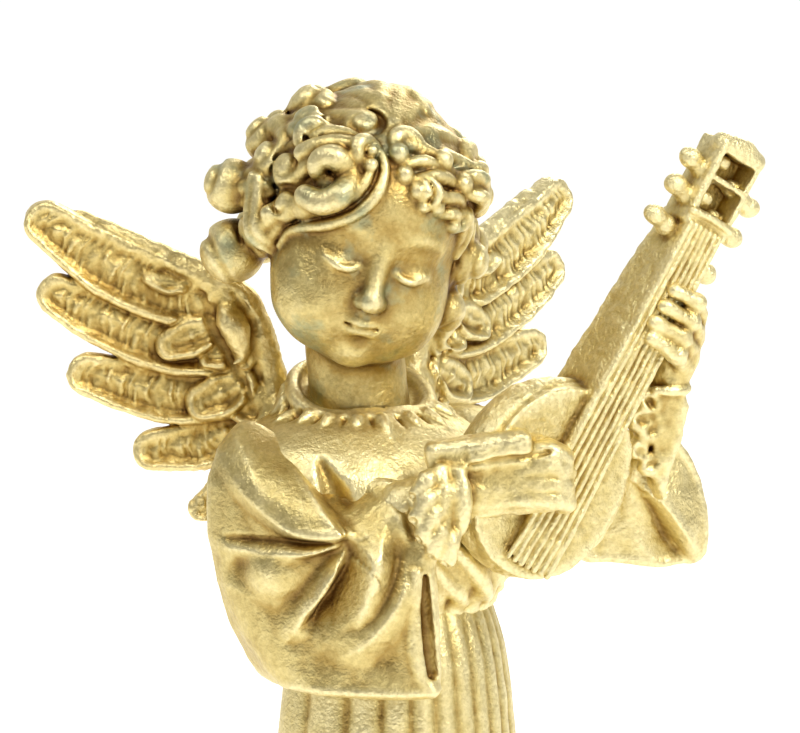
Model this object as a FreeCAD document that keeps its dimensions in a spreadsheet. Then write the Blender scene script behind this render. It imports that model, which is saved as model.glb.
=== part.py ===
import FreeCAD, Part

import math
import os

import Sketcher
from FreeCAD import Placement, Rotation, Vector

# Gilded resin angel with a lute, 120 mm tall, on a turned plinth. Millimetres, +Z up.
# The origin is the centre of the felt pad's underside. The angel faces -Y, its right arm is at -X.
# Every casting is glued on a steel dowel, so each casting's own origin is the middle of its dowel.

SIZES = {
    # plinth, felt and the screw that holds the plinth
    "felt_radius": 19.0,
    "felt_thick": 1.0,
    "plinth_radius": 20.5,
    "plinth_height": 8.5,
    "plinth_foot": 3.0,
    "plinth_waist_radius": 17.6,
    "plinth_top_radius": 18.6,
    "plinth_round": 0.7,
    "screw_radius": 1.5,
    "screw_length": 16.0,
    "screw_head_radius": 2.8,
    "screw_head_height": 2.0,
    "screw_clearance": 0.2,
    # skirt
    "hem_half_width": 16.4,
    "hem_half_depth": 14.6,
    "knee_half_width": 13.4,
    "knee_half_depth": 12.2,
    "knee_z": 40.0,
    "waist_half_width": 10.0,
    "waist_half_depth": 9.0,
    "waist_z": 73.0,
    "pleat_hem_radius": 1.5,
    "pleat_waist_radius": 0.6,
    # bodice
    "belt_height": 2.2,
    "belt_proud": 0.7,
    "chest_half_width": 11.6,
    "chest_half_depth": 9.8,
    "chest_z": 80.0,
    "shoulder_half_width": 11.4,
    "shoulder_half_depth": 8.4,
    "shoulder_z": 87.0,
    "yoke_half_width": 7.4,
    "yoke_half_depth": 6.8,
    "yoke_z": 91.6,
    "collar_radius": 6.2,
    "collar_thick": 0.8,
    "collar_tilt": 20.0,
    "neck_radius": 3.7,
    "neck_gap": 0.8,
    "neck_socket_depth": 3.0,
    "neck_seat_gap": 0.3,
    # head and hair
    "skull_half_width": 9.1,
    "skull_half_depth": 9.6,
    "skull_half_height": 10.8,
    "face_half_width": 7.7,
    "face_half_depth": 6.6,
    "face_half_height": 8.2,
    "curl_radius": 2.7,
    "nose_radius": 0.9,
    # arms, sleeves and hands
    "upper_arm_radius": 6.2,
    "upper_arm_length": 8.6,
    "bell_half_height": 9.0,
    "bell_half_width": 4.8,
    "left_bell_half_height": 6.8,
    "left_bell_half_width": 3.9,
    "sleeve_wall": 1.2,
    "wrist_radius": 1.9,
    "cuff_radius": 3.0,
    "cuff_thick": 0.9,
    "palm_half_length": 3.6,
    "palm_half_height": 2.5,
    "palm_half_thick": 1.5,
    "finger_radius": 0.85,
    "finger_length": 4.2,
    # lute, along its own Z, soundboard facing its own -Y
    "lute_half_width": 7.6,
    "lute_bottom": 9.5,
    "neck_start": 7.0,
    "nut_at": 25.6,
    "fretboard_width": 5.0,
    "fretboard_depth": 5.6,
    "nut_width": 4.0,
    "nut_depth": 3.2,
    "board_thick": 0.6,
    "string_radius": 0.22,
    "string_pitch": 0.72,
    "pegbox_length": 7.8,
    "pegbox_width": 4.6,
    "pegbox_depth": 3.4,
    "window_side": 2.3,
    "window_depth": 2.2,
    "window_pitch": 3.1,
    "peg_radius": 0.85,
    "peg_span": 8.6,
    "peg_pitch": 2.9,
    # wings
    "quill_radius": 1.5,
    "feather_radius": 2.5,
    "feather_thick": 1.2,
    "feather_step": 0.4,
    "wing_arm_radius": 1.5,
    "wing_boss_radius": 2.6,
    # dowels
    "neck_dowel_radius": 1.2,
    "neck_dowel_length": 9.0,
    "waist_dowel_radius": 1.5,
    "waist_dowel_length": 12.0,
    "small_dowel_radius": 0.8,
    "small_dowel_length": 6.0,
    "dowel_gap": 0.05,
    "dowel_chamfer": 0.2,
}

WAIST = Vector(0, -0.5, SIZES["waist_z"])
NECK = Vector(-2.8, 2.0, 91.5)
HEAD = Vector(-3.0, 0.0, 107.2)
RIGHT_SHOULDER = Vector(-11.0, 1.5, 84.5)
LEFT_SHOULDER = Vector(5.4, 1.5, 84.5)
RIGHT_WING = Vector(-7.3, 8.0, 87.5)
LEFT_WING = Vector(3.6, 8.0, 87.8)
RIGHT_WRIST = Vector(-1.5, -12.6, 82.3)
LEFT_WRIST = Vector(20.4, -9.0, 87.0)
LUTE = Vector(9.9, -14.0, 84.9)
LUTE_DOWEL = Vector(5.0, -8.2, 83.4)

HEAD_TURN, HEAD_NOD, HEAD_LEAN = -12.0, 12.0, 14.0
WING_SWEEP = 26.0
RIGHT_HAND_AIM = Vector(0.935, -0.35, 0.07)
LEFT_HAND_AIM = Vector(0.05, -0.47, 0.88)
LUTE_AIM = Vector(0.487, -0.024, 0.873)
LUTE_FACE = Vector(0.14, -0.98, -0.1)
Z_AXIS = Vector(0, 0, 1)

doc = FreeCAD.newDocument("angel_figurine")
sheet = doc.addObject("Spreadsheet::Sheet", "Sizes")
for row, (alias, value) in enumerate(SIZES.items(), start=1):
    sheet.set(f"A{row}", alias)
    sheet.set(f"B{row}", str(value))
    sheet.setAlias(f"B{row}", alias)
doc.recompute()


# ---- helpers ----------------------------------------------------------------------------------

def bind(thing, prop, formula):
    """Sets a property from a formula over the sheet's names, or from a plain number."""
    if isinstance(formula, str):
        for name in sorted(SIZES, key=len, reverse=True):
            formula = formula.replace(f"<{name}>", f"Sizes.{name}")
        thing.setExpression(prop, formula)
    else:
        setattr(thing, prop, formula)


def solid(kind, name, at=None, turn=None, **sizes):
    """A Part primitive whose sizes are formulas or numbers."""
    made = doc.addObject(f"Part::{kind}", name)
    for prop, formula in sizes.items():
        bind(made, prop, formula)
    made.Placement = Placement(at or Vector(), turn or Rotation())
    return made


def aimed(direction):
    """The turn that carries +Z onto a direction."""
    return Rotation(Z_AXIS, direction)


def upright(direction):
    """The turn that carries +Z onto a direction and keeps +Y as near to upwards as it can."""
    facing = Vector(direction).normalize()
    up = Z_AXIS - facing * Z_AXIS.dot(facing)
    up.normalize()
    return Rotation(up.cross(facing), up, facing, "ZYX")


def fuse(name, pieces):
    made = doc.addObject("Part::MultiFuse", name)
    made.Shapes = pieces
    made.Refine = False
    return made


def cut(name, base, tools):
    """Takes the tools away from the base."""
    made = doc.addObject("Part::Cut", name)
    made.Base = base
    made.Tool = tools[0] if len(tools) == 1 else fuse(f"{name}_tools", tools)
    made.Refine = False
    return made


def oval(name, at, wide, deep, turn=None):
    """An ellipse, as a loft's section: wide along X and deep along Y before it is turned."""
    made = doc.addObject("Part::Ellipse", name)
    turn = turn or Rotation()
    doc.recompute()
    if value_of(wide) >= value_of(deep):
        bind(made, "MajorRadius", wide)
        bind(made, "MinorRadius", deep)
        made.Placement = Placement(at, turn)
    else:
        bind(made, "MajorRadius", deep)
        bind(made, "MinorRadius", wide)
        made.Placement = Placement(at, turn * Rotation(Z_AXIS, 90))
    return made


def value_of(formula):
    """A formula's value in millimetres."""
    if not isinstance(formula, str):
        return formula
    bind(scratch, "Radius", formula)
    doc.recompute()
    return float(scratch.Radius)


scratch = doc.addObject("Part::Sphere", "scratch")


def loft(name, sections, ruled=False):
    made = doc.addObject("Part::Loft", name)
    made.Sections = sections
    made.Solid = True
    made.Ruled = ruled
    return made


def capsule(name, start, end, radius):
    """A rod with two round ends, as its three pieces."""
    reach = end - start
    rod = solid("Cylinder", f"{name}_rod", start, aimed(reach), Radius=radius, Height=reach.Length)
    ends = [solid("Sphere", f"{name}_end{i}", p, Radius=radius) for i, p in enumerate((start, end))]
    return [rod, *ends]


def body(label):
    made = doc.addObject("PartDesign::Body", label)
    made.Label = label
    return made


def plane(owner, role):
    return next(f for f in owner.Origin.OriginFeatures if f.Role == role)


def sketch(owner, name, role, offset=0.0):
    made = owner.newObject("Sketcher::SketchObject", name)
    made.AttachmentSupport = [(plane(owner, role), "")]
    made.MapMode = "FlatFace"
    made.AttachmentOffset = Placement(Vector(0, 0, offset), Rotation())
    return made


def outline(drawn, corners):
    """A closed outline of straight lines whose corners are formulas for X and Y."""
    spots = [Vector(value_of(x), value_of(y), 0) for x, y in corners]
    for i, spot in enumerate(spots):
        drawn.addGeometry(Part.LineSegment(spot, spots[(i + 1) % len(spots)]), False)
    for i in range(len(spots)):
        drawn.addConstraint(Sketcher.Constraint("Coincident", i, 2, (i + 1) % len(spots), 1))
    for i, corner in enumerate(corners):
        for way, formula in zip(("DistanceX", "DistanceY"), corner):
            place = drawn.addConstraint(Sketcher.Constraint(way, -1, 1, i, 1, value_of(formula)))
            if isinstance(formula, str):
                bind(drawn, f"Constraints[{place}]", formula)


def circle(drawn, radius, x=0.0, y=0.0):
    """A circle with its radius bound to a formula."""
    at = len(drawn.Geometry)
    size = value_of(radius)
    drawn.addGeometry(Part.Circle(Vector(value_of(x), value_of(y), 0), Z_AXIS, size), False)
    for way, formula in (("DistanceX", x), ("DistanceY", y)):
        place = drawn.addConstraint(Sketcher.Constraint(way, -1, 1, at, 3, value_of(formula)))
        if isinstance(formula, str):
            bind(drawn, f"Constraints[{place}]", formula)
    place = drawn.addConstraint(Sketcher.Constraint("Radius", at, size))
    bind(drawn, f"Constraints[{place}]", radius)


def feature(owner, kind, name, profile, **sizes):
    made = owner.newObject(f"PartDesign::{kind}", name)
    made.Profile = profile
    for prop, formula in sizes.items():
        bind(made, prop, formula)
    doc.recompute()
    return made


def edges_where(shape, test):
    """The names of a shape's edges whose bounding box passes a test."""
    return [f"Edge{i}" for i, e in enumerate(shape.Edges, start=1) if test(e.BoundBox)]


def dress(owner, kind, name, base, edges, **sizes):
    """A fillet or a chamfer on the named edges."""
    made = owner.newObject(f"PartDesign::{kind}", name)
    made.Base = (base, edges)
    for prop, formula in sizes.items():
        bind(made, prop, formula)
    doc.recompute()
    return made


def spun(label, corners):
    """A body turned about Z from an outline in its XZ plane."""
    made = body(label)
    drawn = sketch(made, f"{label}_profile", "XZ_Plane")
    outline(drawn, corners)
    turned = made.newObject("PartDesign::Revolution", f"{label}_turned")
    turned.Profile = drawn
    turned.ReferenceAxis = (drawn, ["V_Axis"])
    turned.Angle = 360
    doc.recompute()
    return made, turned


finished = []


def keep(made, label, at=None, turn=None):
    """Marks an object as a finished sub-part, in its place."""
    made.Label = label
    made.Placement = Placement(at or Vector(), turn or Rotation())
    finished.append(made)
    return made


def dowel(label, size, at, along):
    """A steel pin with chamfered ends, its middle at a point."""
    made = body(label)
    drawn = sketch(made, f"{label}_circle", "XY_Plane")
    circle(drawn, f"<{size}_dowel_radius>")
    pad = feature(made, "Pad", f"{label}_pad", drawn, Midplane=True, Length=f"<{size}_dowel_length>")
    ends = edges_where(pad.Shape, lambda box: box.ZLength < 1e-6)
    dress(made, "Chamfer", f"{label}_chamfer", pad, ends, Size="<dowel_chamfer>")
    return keep(made, label, at, aimed(along))


def socket(pin, size, home):
    """The hole that a dowel sits in, in the own frame of the casting whose placement is home."""
    hole = solid(
        "Cylinder",
        f"{pin.Label}_hole",
        Radius=f"<{size}_dowel_radius> + <dowel_gap>",
        Height=f"<{size}_dowel_length> + 2 * <dowel_gap>",
    )
    half = SIZES[f"{size}_dowel_length"] / 2 + SIZES["dowel_gap"]
    start = Placement(Vector(0, 0, -half), Rotation())
    hole.Placement = home.inverse() * pin.Placement * start
    return hole


def sockets(home, *pins):
    """The holes of several small dowels in one casting."""
    return [socket(pin, "small", home) for pin in pins]


def block(name, corner, size):
    """A box from its low corner, for cutting a flat mating face."""
    return solid("Box", name, corner, Length=size.x, Width=size.y, Height=size.z)


def local(home, point):
    """A point of the whole figure in a casting's own frame."""
    return home.inverse().multVec(point)


# ---- dowels -----------------------------------------------------------------------------------

neck_dowel = dowel("neck_dowel", "neck", NECK, HEAD - NECK)
waist_dowel = dowel("waist_dowel", "waist", WAIST, Z_AXIS)
right_shoulder_dowel = dowel("right_shoulder_dowel", "small", RIGHT_SHOULDER, Vector(1, 0, 0))
left_shoulder_dowel = dowel("left_shoulder_dowel", "small", LEFT_SHOULDER, Vector(1, 0, 0))
right_wing_dowel = dowel("right_wing_dowel", "small", RIGHT_WING, Vector(0, 1, 0))
left_wing_dowel = dowel("left_wing_dowel", "small", LEFT_WING, Vector(0, 1, 0))
right_wrist_dowel = dowel("right_wrist_dowel", "small", RIGHT_WRIST, RIGHT_HAND_AIM)
left_wrist_dowel = dowel("left_wrist_dowel", "small", LEFT_WRIST, LEFT_HAND_AIM)
lute_dowel = dowel("lute_dowel", "small", LUTE_DOWEL, Vector(0.1, -0.98, 0.1))


# ---- plinth, felt pad and screw ---------------------------------------------------------------

def make_felt_pad():
    made = body("felt_pad")
    drawn = sketch(made, "felt_circle", "XY_Plane")
    circle(drawn, "<felt_radius>")
    feature(made, "Pad", "felt_disc", drawn, Length="<felt_thick>")
    return keep(made, "felt_pad")


def make_plinth():
    """A turned foot, a waist and a top bead, drilled and counterbored from below for the screw."""
    made, turned = spun(
        "plinth",
        [
            ("<screw_radius> + <screw_clearance>", 0.0),
            ("<plinth_radius>", 0.0),
            ("<plinth_radius>", "<plinth_foot>"),
            ("<plinth_waist_radius>", "<plinth_foot> + 1.2"),
            ("<plinth_waist_radius>", "<plinth_height> - 2.4"),
            ("<plinth_top_radius>", "<plinth_height> - 1.6"),
            ("<plinth_top_radius>", "<plinth_height>"),
            ("<screw_radius> + <screw_clearance>", "<plinth_height>"),
        ],
    )
    rims = edges_where(turned.Shape, lambda box: box.ZLength < 1e-6 and box.XLength > 30)
    rounded = dress(made, "Fillet", "plinth_rounds", turned, rims, Radius="<plinth_round>")
    drawn = sketch(made, "plinth_counterbore", "XY_Plane")
    circle(drawn, "<screw_head_radius> + <screw_clearance>")
    bore = made.newObject("PartDesign::Pocket", "plinth_counterbore_cut")
    bore.Profile = drawn
    bore.Reversed = True
    bind(bore, "Length", "<screw_head_height> + <screw_clearance>")
    doc.recompute()
    if bore.Shape.Volume >= rounded.Shape.Volume:
        raise RuntimeError("the plinth's counterbore cuts nothing")
    return keep(made, "plinth", Vector(0, 0, SIZES["felt_thick"]))


def make_base_screw():
    made, turned = spun(
        "base_screw",
        [
            (0.0, 0.0),
            ("<screw_head_radius>", 0.0),
            ("<screw_head_radius>", "<screw_head_height>"),
            ("<screw_radius>", "<screw_head_height>"),
            ("<screw_radius>", "<screw_length> - <screw_radius>"),
            (0.3, "<screw_length>"),
            (0.0, "<screw_length>"),
        ],
    )
    drawn = sketch(made, "screw_slot", "XY_Plane")
    outline(drawn, [(-2.2, -0.35), (2.2, -0.35), (2.2, 0.35), (-2.2, 0.35)])
    feature(made, "Pocket", "screw_slot_cut", drawn, Length=0.8, Reversed=True)
    return keep(made, "base_screw", Vector(0, 0, SIZES["felt_thick"]))


# ---- robe: skirt and bodice -------------------------------------------------------------------

HEM_Z = SIZES["felt_thick"] + SIZES["plinth_height"]
PLEATS = 20


def make_robe_skirt():
    """The pleated lower robe, one solid casting from the plinth to the waist."""
    sections = [
        oval("hem", Vector(0, 0, HEM_Z), "<hem_half_width>", "<hem_half_depth>"),
        oval("knee", Vector(0, -0.2, SIZES["knee_z"]), "<knee_half_width>", "<knee_half_depth>"),
        oval("waist", WAIST, "<waist_half_width>", "<waist_half_depth>"),
    ]
    grooves = []
    for i in range(PLEATS):
        turn = 2 * math.pi * (i + 0.5) / PLEATS
        along, across = math.cos(turn), math.sin(turn)
        low = Vector(SIZES["hem_half_width"] * along, SIZES["hem_half_depth"] * across, HEM_Z - 1)
        high = Vector(SIZES["waist_half_width"] * along, SIZES["waist_half_depth"] * across, 0) * 1.03
        high.z = SIZES["waist_z"] + 1
        grooves.append(
            solid(
                "Cone",
                f"pleat{i}",
                low,
                aimed(high - low),
                Radius1="<pleat_hem_radius>",
                Radius2="<pleat_waist_radius>",
                Height=(high - low).Length,
            )
        )
    pilot = solid("Cylinder", "pilot", Vector(0, 0, HEM_Z - 0.1), Radius="<screw_radius>", Height=9.6)
    holes = [pilot, socket(waist_dowel, "waist", Placement())]
    return keep(cut("skirt", loft("skirt_cone", sections), [*grooves, *holes]), "robe_skirt")


def make_robe_bodice(neighbours):
    """Chest, shoulders, belt and the open collar that the neck drops into."""
    chest = Vector(-1.2, -0.6, SIZES["chest_z"])
    shoulders = Vector(-2.6, 1.2, SIZES["shoulder_z"])
    yoke = Vector(NECK.x, NECK.y, SIZES["yoke_z"])
    trunk = loft(
        "trunk",
        [
            oval("trunk_waist", WAIST, "<waist_half_width>", "<waist_half_depth>"),
            oval("trunk_chest", chest, "<chest_half_width>", "<chest_half_depth>"),
            oval("trunk_top", shoulders, "<shoulder_half_width>", "<shoulder_half_depth>"),
            oval("trunk_yoke", yoke, "<yoke_half_width>", "<yoke_half_depth>"),
        ],
    )
    rise = Vector(0, 0, SIZES["belt_height"])
    wide, deep = "<waist_half_width> + <belt_proud>", "<waist_half_depth> + <belt_proud>"
    rims = [oval("belt_low", WAIST, wide, deep), oval("belt_high", WAIST + rise, wide, deep)]
    belt = loft("belt", rims)
    ring = solid(
        "Torus",
        "collar",
        yoke,
        Rotation(Vector(1, 0, 0), SIZES["collar_tilt"]),
        Radius1="<collar_radius>",
        Radius2="<collar_thick>",
    )
    well = solid(
        "Cylinder",
        "neck_well",
        NECK - Vector(0, 0, SIZES["neck_socket_depth"]),
        Radius="<neck_radius> + <neck_gap>",
        Height=10.0,
    )
    flats = [
        block("right_flat", Vector(RIGHT_SHOULDER.x - 20, -20, 76), Vector(20, 40, 30)),
        block("left_flat", Vector(LEFT_SHOULDER.x + 2.4, -20, 76), Vector(20, 40, 30)),
        block("back_flat", Vector(-20, RIGHT_WING.y, 76), Vector(40, 20, 30)),
    ]
    pins = [socket(neck_dowel, "neck", Placement()), socket(waist_dowel, "waist", Placement())]
    pins += sockets(
        Placement(),
        right_shoulder_dowel,
        left_shoulder_dowel,
        right_wing_dowel,
        left_wing_dowel,
        lute_dowel,
    )
    mass = fuse("bodice_mass", [trunk, belt, ring])
    return keep(cut("bodice", mass, [well, *flats, *pins, *neighbours]), "robe_bodice")


# ---- head ---------------------------------------------------------------------------------------

def make_head():
    """Skull, face, neck and a mass of curls, in the head's own turned frame with the face to -Y."""
    turn = (
        Rotation(Z_AXIS, HEAD_TURN)
        * Rotation(Vector(1, 0, 0), HEAD_NOD)
        * Rotation(Vector(0, 1, 0), HEAD_LEAN)
    )
    home = Placement(HEAD, turn)
    skull = solid(
        "Ellipsoid",
        "skull",
        Vector(0, 1.2, 1.4),
        Radius1="<skull_half_height>",
        Radius2="<skull_half_width>",
        Radius3="<skull_half_depth>",
    )
    face = solid(
        "Ellipsoid",
        "face",
        Vector(0, -2.6, -2.6),
        Radius1="<face_half_height>",
        Radius2="<face_half_width>",
        Radius3="<face_half_depth>",
    )
    nose = solid("Sphere", "nose", Vector(0, -9.3, -2.9), Radius="<nose_radius>")
    sunk = SIZES["neck_socket_depth"] - SIZES["neck_seat_gap"]
    foot, top = local(home, NECK - Vector(0, 0, sunk)), Vector(0, 2, -4)
    neck = solid(
        "Cylinder", "neck", foot, aimed(top - foot), Radius="<neck_radius>", Height=(top - foot).Length
    )
    curls = []
    rows = [(-1.5, 0.94, 7, 45, 315), (4.2, 0.84, 8, 20, 340), (-6.0, 0.80, 5, 60, 300)]
    for level, (height, spread, count, first, last) in enumerate(rows):
        for i in range(count):
            # the angle runs round the back of the head, from beside the face to beside the face
            angle = math.radians(first + (last - first) * i / (count - 1) - 90)
            spot = Vector(
                SIZES["skull_half_width"] * spread * math.cos(angle),
                1.2 + SIZES["skull_half_depth"] * spread * math.sin(angle),
                height,
            )
            curls.append(solid("Sphere", f"curl{level}_{i}", spot, Radius="<curl_radius>"))
    mass = fuse("head_mass", [skull, face, nose, neck, *curls])
    return keep(cut("head_drilled", mass, [socket(neck_dowel, "neck", home)]), "head", HEAD, turn)


# ---- arms -----------------------------------------------------------------------------------------

def make_right_sleeve(neighbours):
    """The upper arm and the long bell sleeve that hangs across the front, open towards the lute."""
    upper = solid(
        "Ellipsoid",
        "right_upper_arm",
        Vector(-12.6, -0.8, 80.6),
        Radius1="<upper_arm_length>",
        Radius2="<upper_arm_radius>",
        Radius3="<upper_arm_radius>",
    )
    turn, mouth_at = upright(Vector(0.9, -0.43, 0)), Vector(-1.6, -10.6, 75.5)
    wide, high = "<bell_half_width>", "<bell_half_height>"
    bell = loft(
        "right_bell",
        [
            oval("right_bell0", Vector(-16.4, -3.0, 75.4), f"0.7 * {wide}", f"0.8 * {high}", turn),
            oval("right_bell1", Vector(-10.0, -6.8, 74.4), wide, high, turn),
            oval("right_bell2", mouth_at, wide, high, turn),
        ],
    )
    mouth = solid(
        "Ellipsoid",
        "right_mouth",
        mouth_at - Vector(0, 0, 1.2),
        turn,
        Radius1=8.0,
        Radius2=f"{wide} - <sleeve_wall>",
        Radius3=f"{high} - 2 * <sleeve_wall>",
    )
    pins = sockets(Placement(), right_shoulder_dowel, right_wrist_dowel)
    mass = fuse("right_sleeve_mass", [upper, bell])
    return keep(cut("right_sleeve_cut", mass, [*neighbours, mouth, *pins]), "right_sleeve")


def make_left_sleeve(neighbours):
    """The upper arm behind the lute and the pointed bell sleeve under the raised forearm."""
    upper = loft(
        "left_upper_arm",
        [
            oval("left_arm0", LEFT_SHOULDER + Vector(2.4, 0, 0.5), 5.2, 5.6, upright(Vector(1, 0, 0))),
            oval("left_arm1", Vector(13.0, -0.8, 82.4), 4.4, 4.8, upright(Vector(1, -0.2, -0.3))),
            oval("left_arm2", Vector(20.0, -3.4, 80.2), 3.6, 4.0, upright(Vector(1, -0.3, 0))),
        ],
    )
    wide, high = "<left_bell_half_width>", "<left_bell_half_height>"
    mouth_at, mouth_aim = Vector(24.2, -6.2, 81.8), Vector(0.86, -0.1, 0.4)
    bell = loft(
        "left_bell",
        [
            oval("left_bell0", Vector(16.2, -4.2, 79.6), 3.0, 3.2, upright(Vector(1, -0.2, 0.1))),
            oval("left_bell1", Vector(20.4, -5.6, 80.4), wide, f"0.8 * {high}", upright(mouth_aim)),
            oval("left_bell2", mouth_at, wide, high, upright(mouth_aim)),
        ],
    )
    forearm = solid(
        "Cone",
        "left_forearm",
        LEFT_WRIST - LEFT_HAND_AIM * 8.0,
        aimed(LEFT_HAND_AIM),
        Radius1="<wrist_radius> + 1.6",
        Radius2="<wrist_radius> + 0.5",
        Height=9.2,
    )
    mouth = solid(
        "Ellipsoid",
        "left_mouth",
        mouth_at - Vector(0, 0, 0.8),
        upright(mouth_aim),
        Radius1=2.6,
        Radius2=f"{wide} - <sleeve_wall>",
        Radius3=f"{high} - <sleeve_wall>",
    )
    mass = fuse("left_sleeve_mass", [upper, bell, forearm])
    pins = sockets(Placement(), left_shoulder_dowel, left_wrist_dowel)
    return keep(cut("left_sleeve_cut", mass, [*neighbours, mouth, *pins]), "left_sleeve")


def right_fingers():
    """Four fingers side by side that run on from the palm and bend down to the strings."""
    chains = []
    for i in range(4):
        spread = (i - 1.5) * 1.72 * SIZES["finger_radius"]
        knuckle = Vector(spread * 1.1, 0.36, 8 + SIZES["finger_length"] / 2)
        chains.append([Vector(spread, 0, 8), knuckle, knuckle + Vector(0, 1.2, SIZES["finger_length"] / 4)])
    return chains


def left_fingers():
    """Four fingers one above the other that reach round the lute's neck from its right."""
    chains = []
    for i in range(4):
        start = Vector(0.8, -0.4, 6.6 + i * 1.8 * SIZES["finger_radius"])
        chains.append([start, start + Vector(-0.4, -2.4, 0.3), start + Vector(-4.2, -2.9, 0.9)])
    return chains


def make_hand(label, pin, home, palm_turn, chains, neighbours):
    """A wrist, a ruffled cuff, a palm and fingers on a dowel, cut clear of the sleeve and the lute."""
    wrist = solid("Cylinder", f"{label}_wrist", Vector(0, 0, -1), Radius="<wrist_radius>", Height=6.0)
    cuff_ring = {"Radius1": "<cuff_radius> - <cuff_thick>", "Radius2": "<cuff_thick>"}
    cuff = solid("Torus", f"{label}_cuff", Vector(0, 0, 2.2), **cuff_ring)
    palm = solid(
        "Ellipsoid",
        f"{label}_palm",
        Vector(0, 0, 6.4),
        Rotation(Z_AXIS, palm_turn),
        Radius1="<palm_half_length>",
        Radius2="<palm_half_height>",
        Radius3="<palm_half_thick>",
    )
    pieces = [wrist, cuff, palm]
    for i, chain in enumerate(chains):
        for j in range(len(chain) - 1):
            pieces += capsule(f"{label}_finger{i}_{j}", chain[j], chain[j + 1], "<finger_radius>")
    drilled = cut(f"{label}_drilled", fuse(f"{label}_mass", pieces), sockets(home, pin))
    drilled.Placement = home
    return keep(cut(f"{label}_clear", drilled, neighbours), label)


# ---- wings ----------------------------------------------------------------------------------------

# each feather: the middle of its quill and of its round tip, outwards and up from the wing's dowel
FEATHERS = [
    ((4.6, 10.4), (20.8, 18.6)),
    ((4.2, 7.2), (19.4, 12.0)),
    ((3.8, 4.0), (16.4, 5.2)),
    ((2.8, 1.0), (10.6, -0.6)),
    ((1.8, -1.6), (6.2, -4.6)),
]
WING_ARM = [(0.0, -2.0), (1.6, 4.6), (3.6, 9.2), (6.4, 12.4)]


def tapered_slot(drawn, quill, tip):
    """A closed outline round two circles: the quill's and the wider round tip's."""
    ends = [Vector(*quill, 0), Vector(*tip, 0)]
    radii = [SIZES["quill_radius"], SIZES["feather_radius"]]
    reach = ends[1] - ends[0]
    lean = math.atan2(reach.y, reach.x)
    open_angle = math.acos((radii[0] - radii[1]) / reach.Length)
    up, down = lean + open_angle, lean - open_angle
    touch = [
        [centre + Vector(math.cos(angle), math.sin(angle), 0) * radius for angle in (up, down)]
        for centre, radius in zip(ends, radii)
    ]
    drawn.addGeometry(
        [
            Part.ArcOfCircle(Part.Circle(ends[0], Z_AXIS, radii[0]), up, down + 2 * math.pi),
            Part.LineSegment(touch[0][1], touch[1][1]),
            Part.ArcOfCircle(Part.Circle(ends[1], Z_AXIS, radii[1]), down, up),
            Part.LineSegment(touch[1][0], touch[0][0]),
        ],
        False,
    )
    for i in range(4):
        drawn.addConstraint(Sketcher.Constraint("Tangent", i, 2, (i + 1) % 4, 1))
    for arc, centre, size in ((0, ends[0], "quill_radius"), (2, ends[1], "feather_radius")):
        drawn.addConstraint(Sketcher.Constraint("DistanceX", -1, 1, arc, 3, centre.x))
        drawn.addConstraint(Sketcher.Constraint("DistanceY", -1, 1, arc, 3, centre.y))
        place = drawn.addConstraint(Sketcher.Constraint("Radius", arc, SIZES[size]))
        bind(drawn, f"Constraints[{place}]", f"<{size}>")


def make_wing(label, pin, at, side):
    """Five overlapping feathers behind a rounded arm, on a boss glued to the back. Side is 1 or -1."""
    blades = body(f"{label}_blades")
    for i, (quill, tip) in enumerate(FEATHERS):
        # the plane's normal is -Y, so each lower feather lies a step further back
        drawn = sketch(blades, f"{label}_feather{i}", "XZ_Plane", -SIZES["feather_step"] * (i + 1))
        tapered_slot(drawn, (side * quill[0], quill[1]), (side * tip[0], tip[1]))
        feature(blades, "Pad", f"{label}_blade{i}", drawn, Length="<feather_thick>")
    pieces = [blades]
    for i in range(len(WING_ARM) - 1):
        start, end = (Vector(side * x, 0.2, z) for x, z in WING_ARM[i : i + 2])
        pieces += capsule(f"{label}_arm{i}", start, end, "<wing_arm_radius>")
    back = Rotation(Vector(1, 0, 0), -90)
    boss = solid("Cylinder", f"{label}_boss", turn=back, Radius="<wing_boss_radius>", Height=1.8)
    turn = Rotation(Z_AXIS, side * WING_SWEEP)
    home = Placement(at, turn)
    front = block(f"{label}_front", Vector(), Vector(60, 20, 60))
    front.Placement = home.inverse() * Placement(at + Vector(-30, -20, -30), Rotation())
    mass = fuse(f"{label}_mass", [*pieces, boss])
    return keep(cut(f"{label}_drilled", mass, [front, *sockets(home, pin)]), label, at, turn)


# ---- lute -----------------------------------------------------------------------------------------

HALF_WINDOW = "<window_side> / 2"
TANGENT = math.radians(29.0)


def rectangle(wide, low, high):
    """A rectangle centred on X between two formulas for Y."""
    half = f"{wide} / 2"
    return [(f"-{half}", low), (half, low), (half, high), (f"-{half}", high)]


def repeat(owner, name, repeated, axis, length, count):
    """A linear pattern of one feature."""
    made = owner.newObject("PartDesign::LinearPattern", name)
    made.Originals = [repeated]
    made.Direction = axis
    bind(made, "Length", length)
    made.Occurrences = count
    owner.Tip = made
    doc.recompute()
    return made


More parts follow.
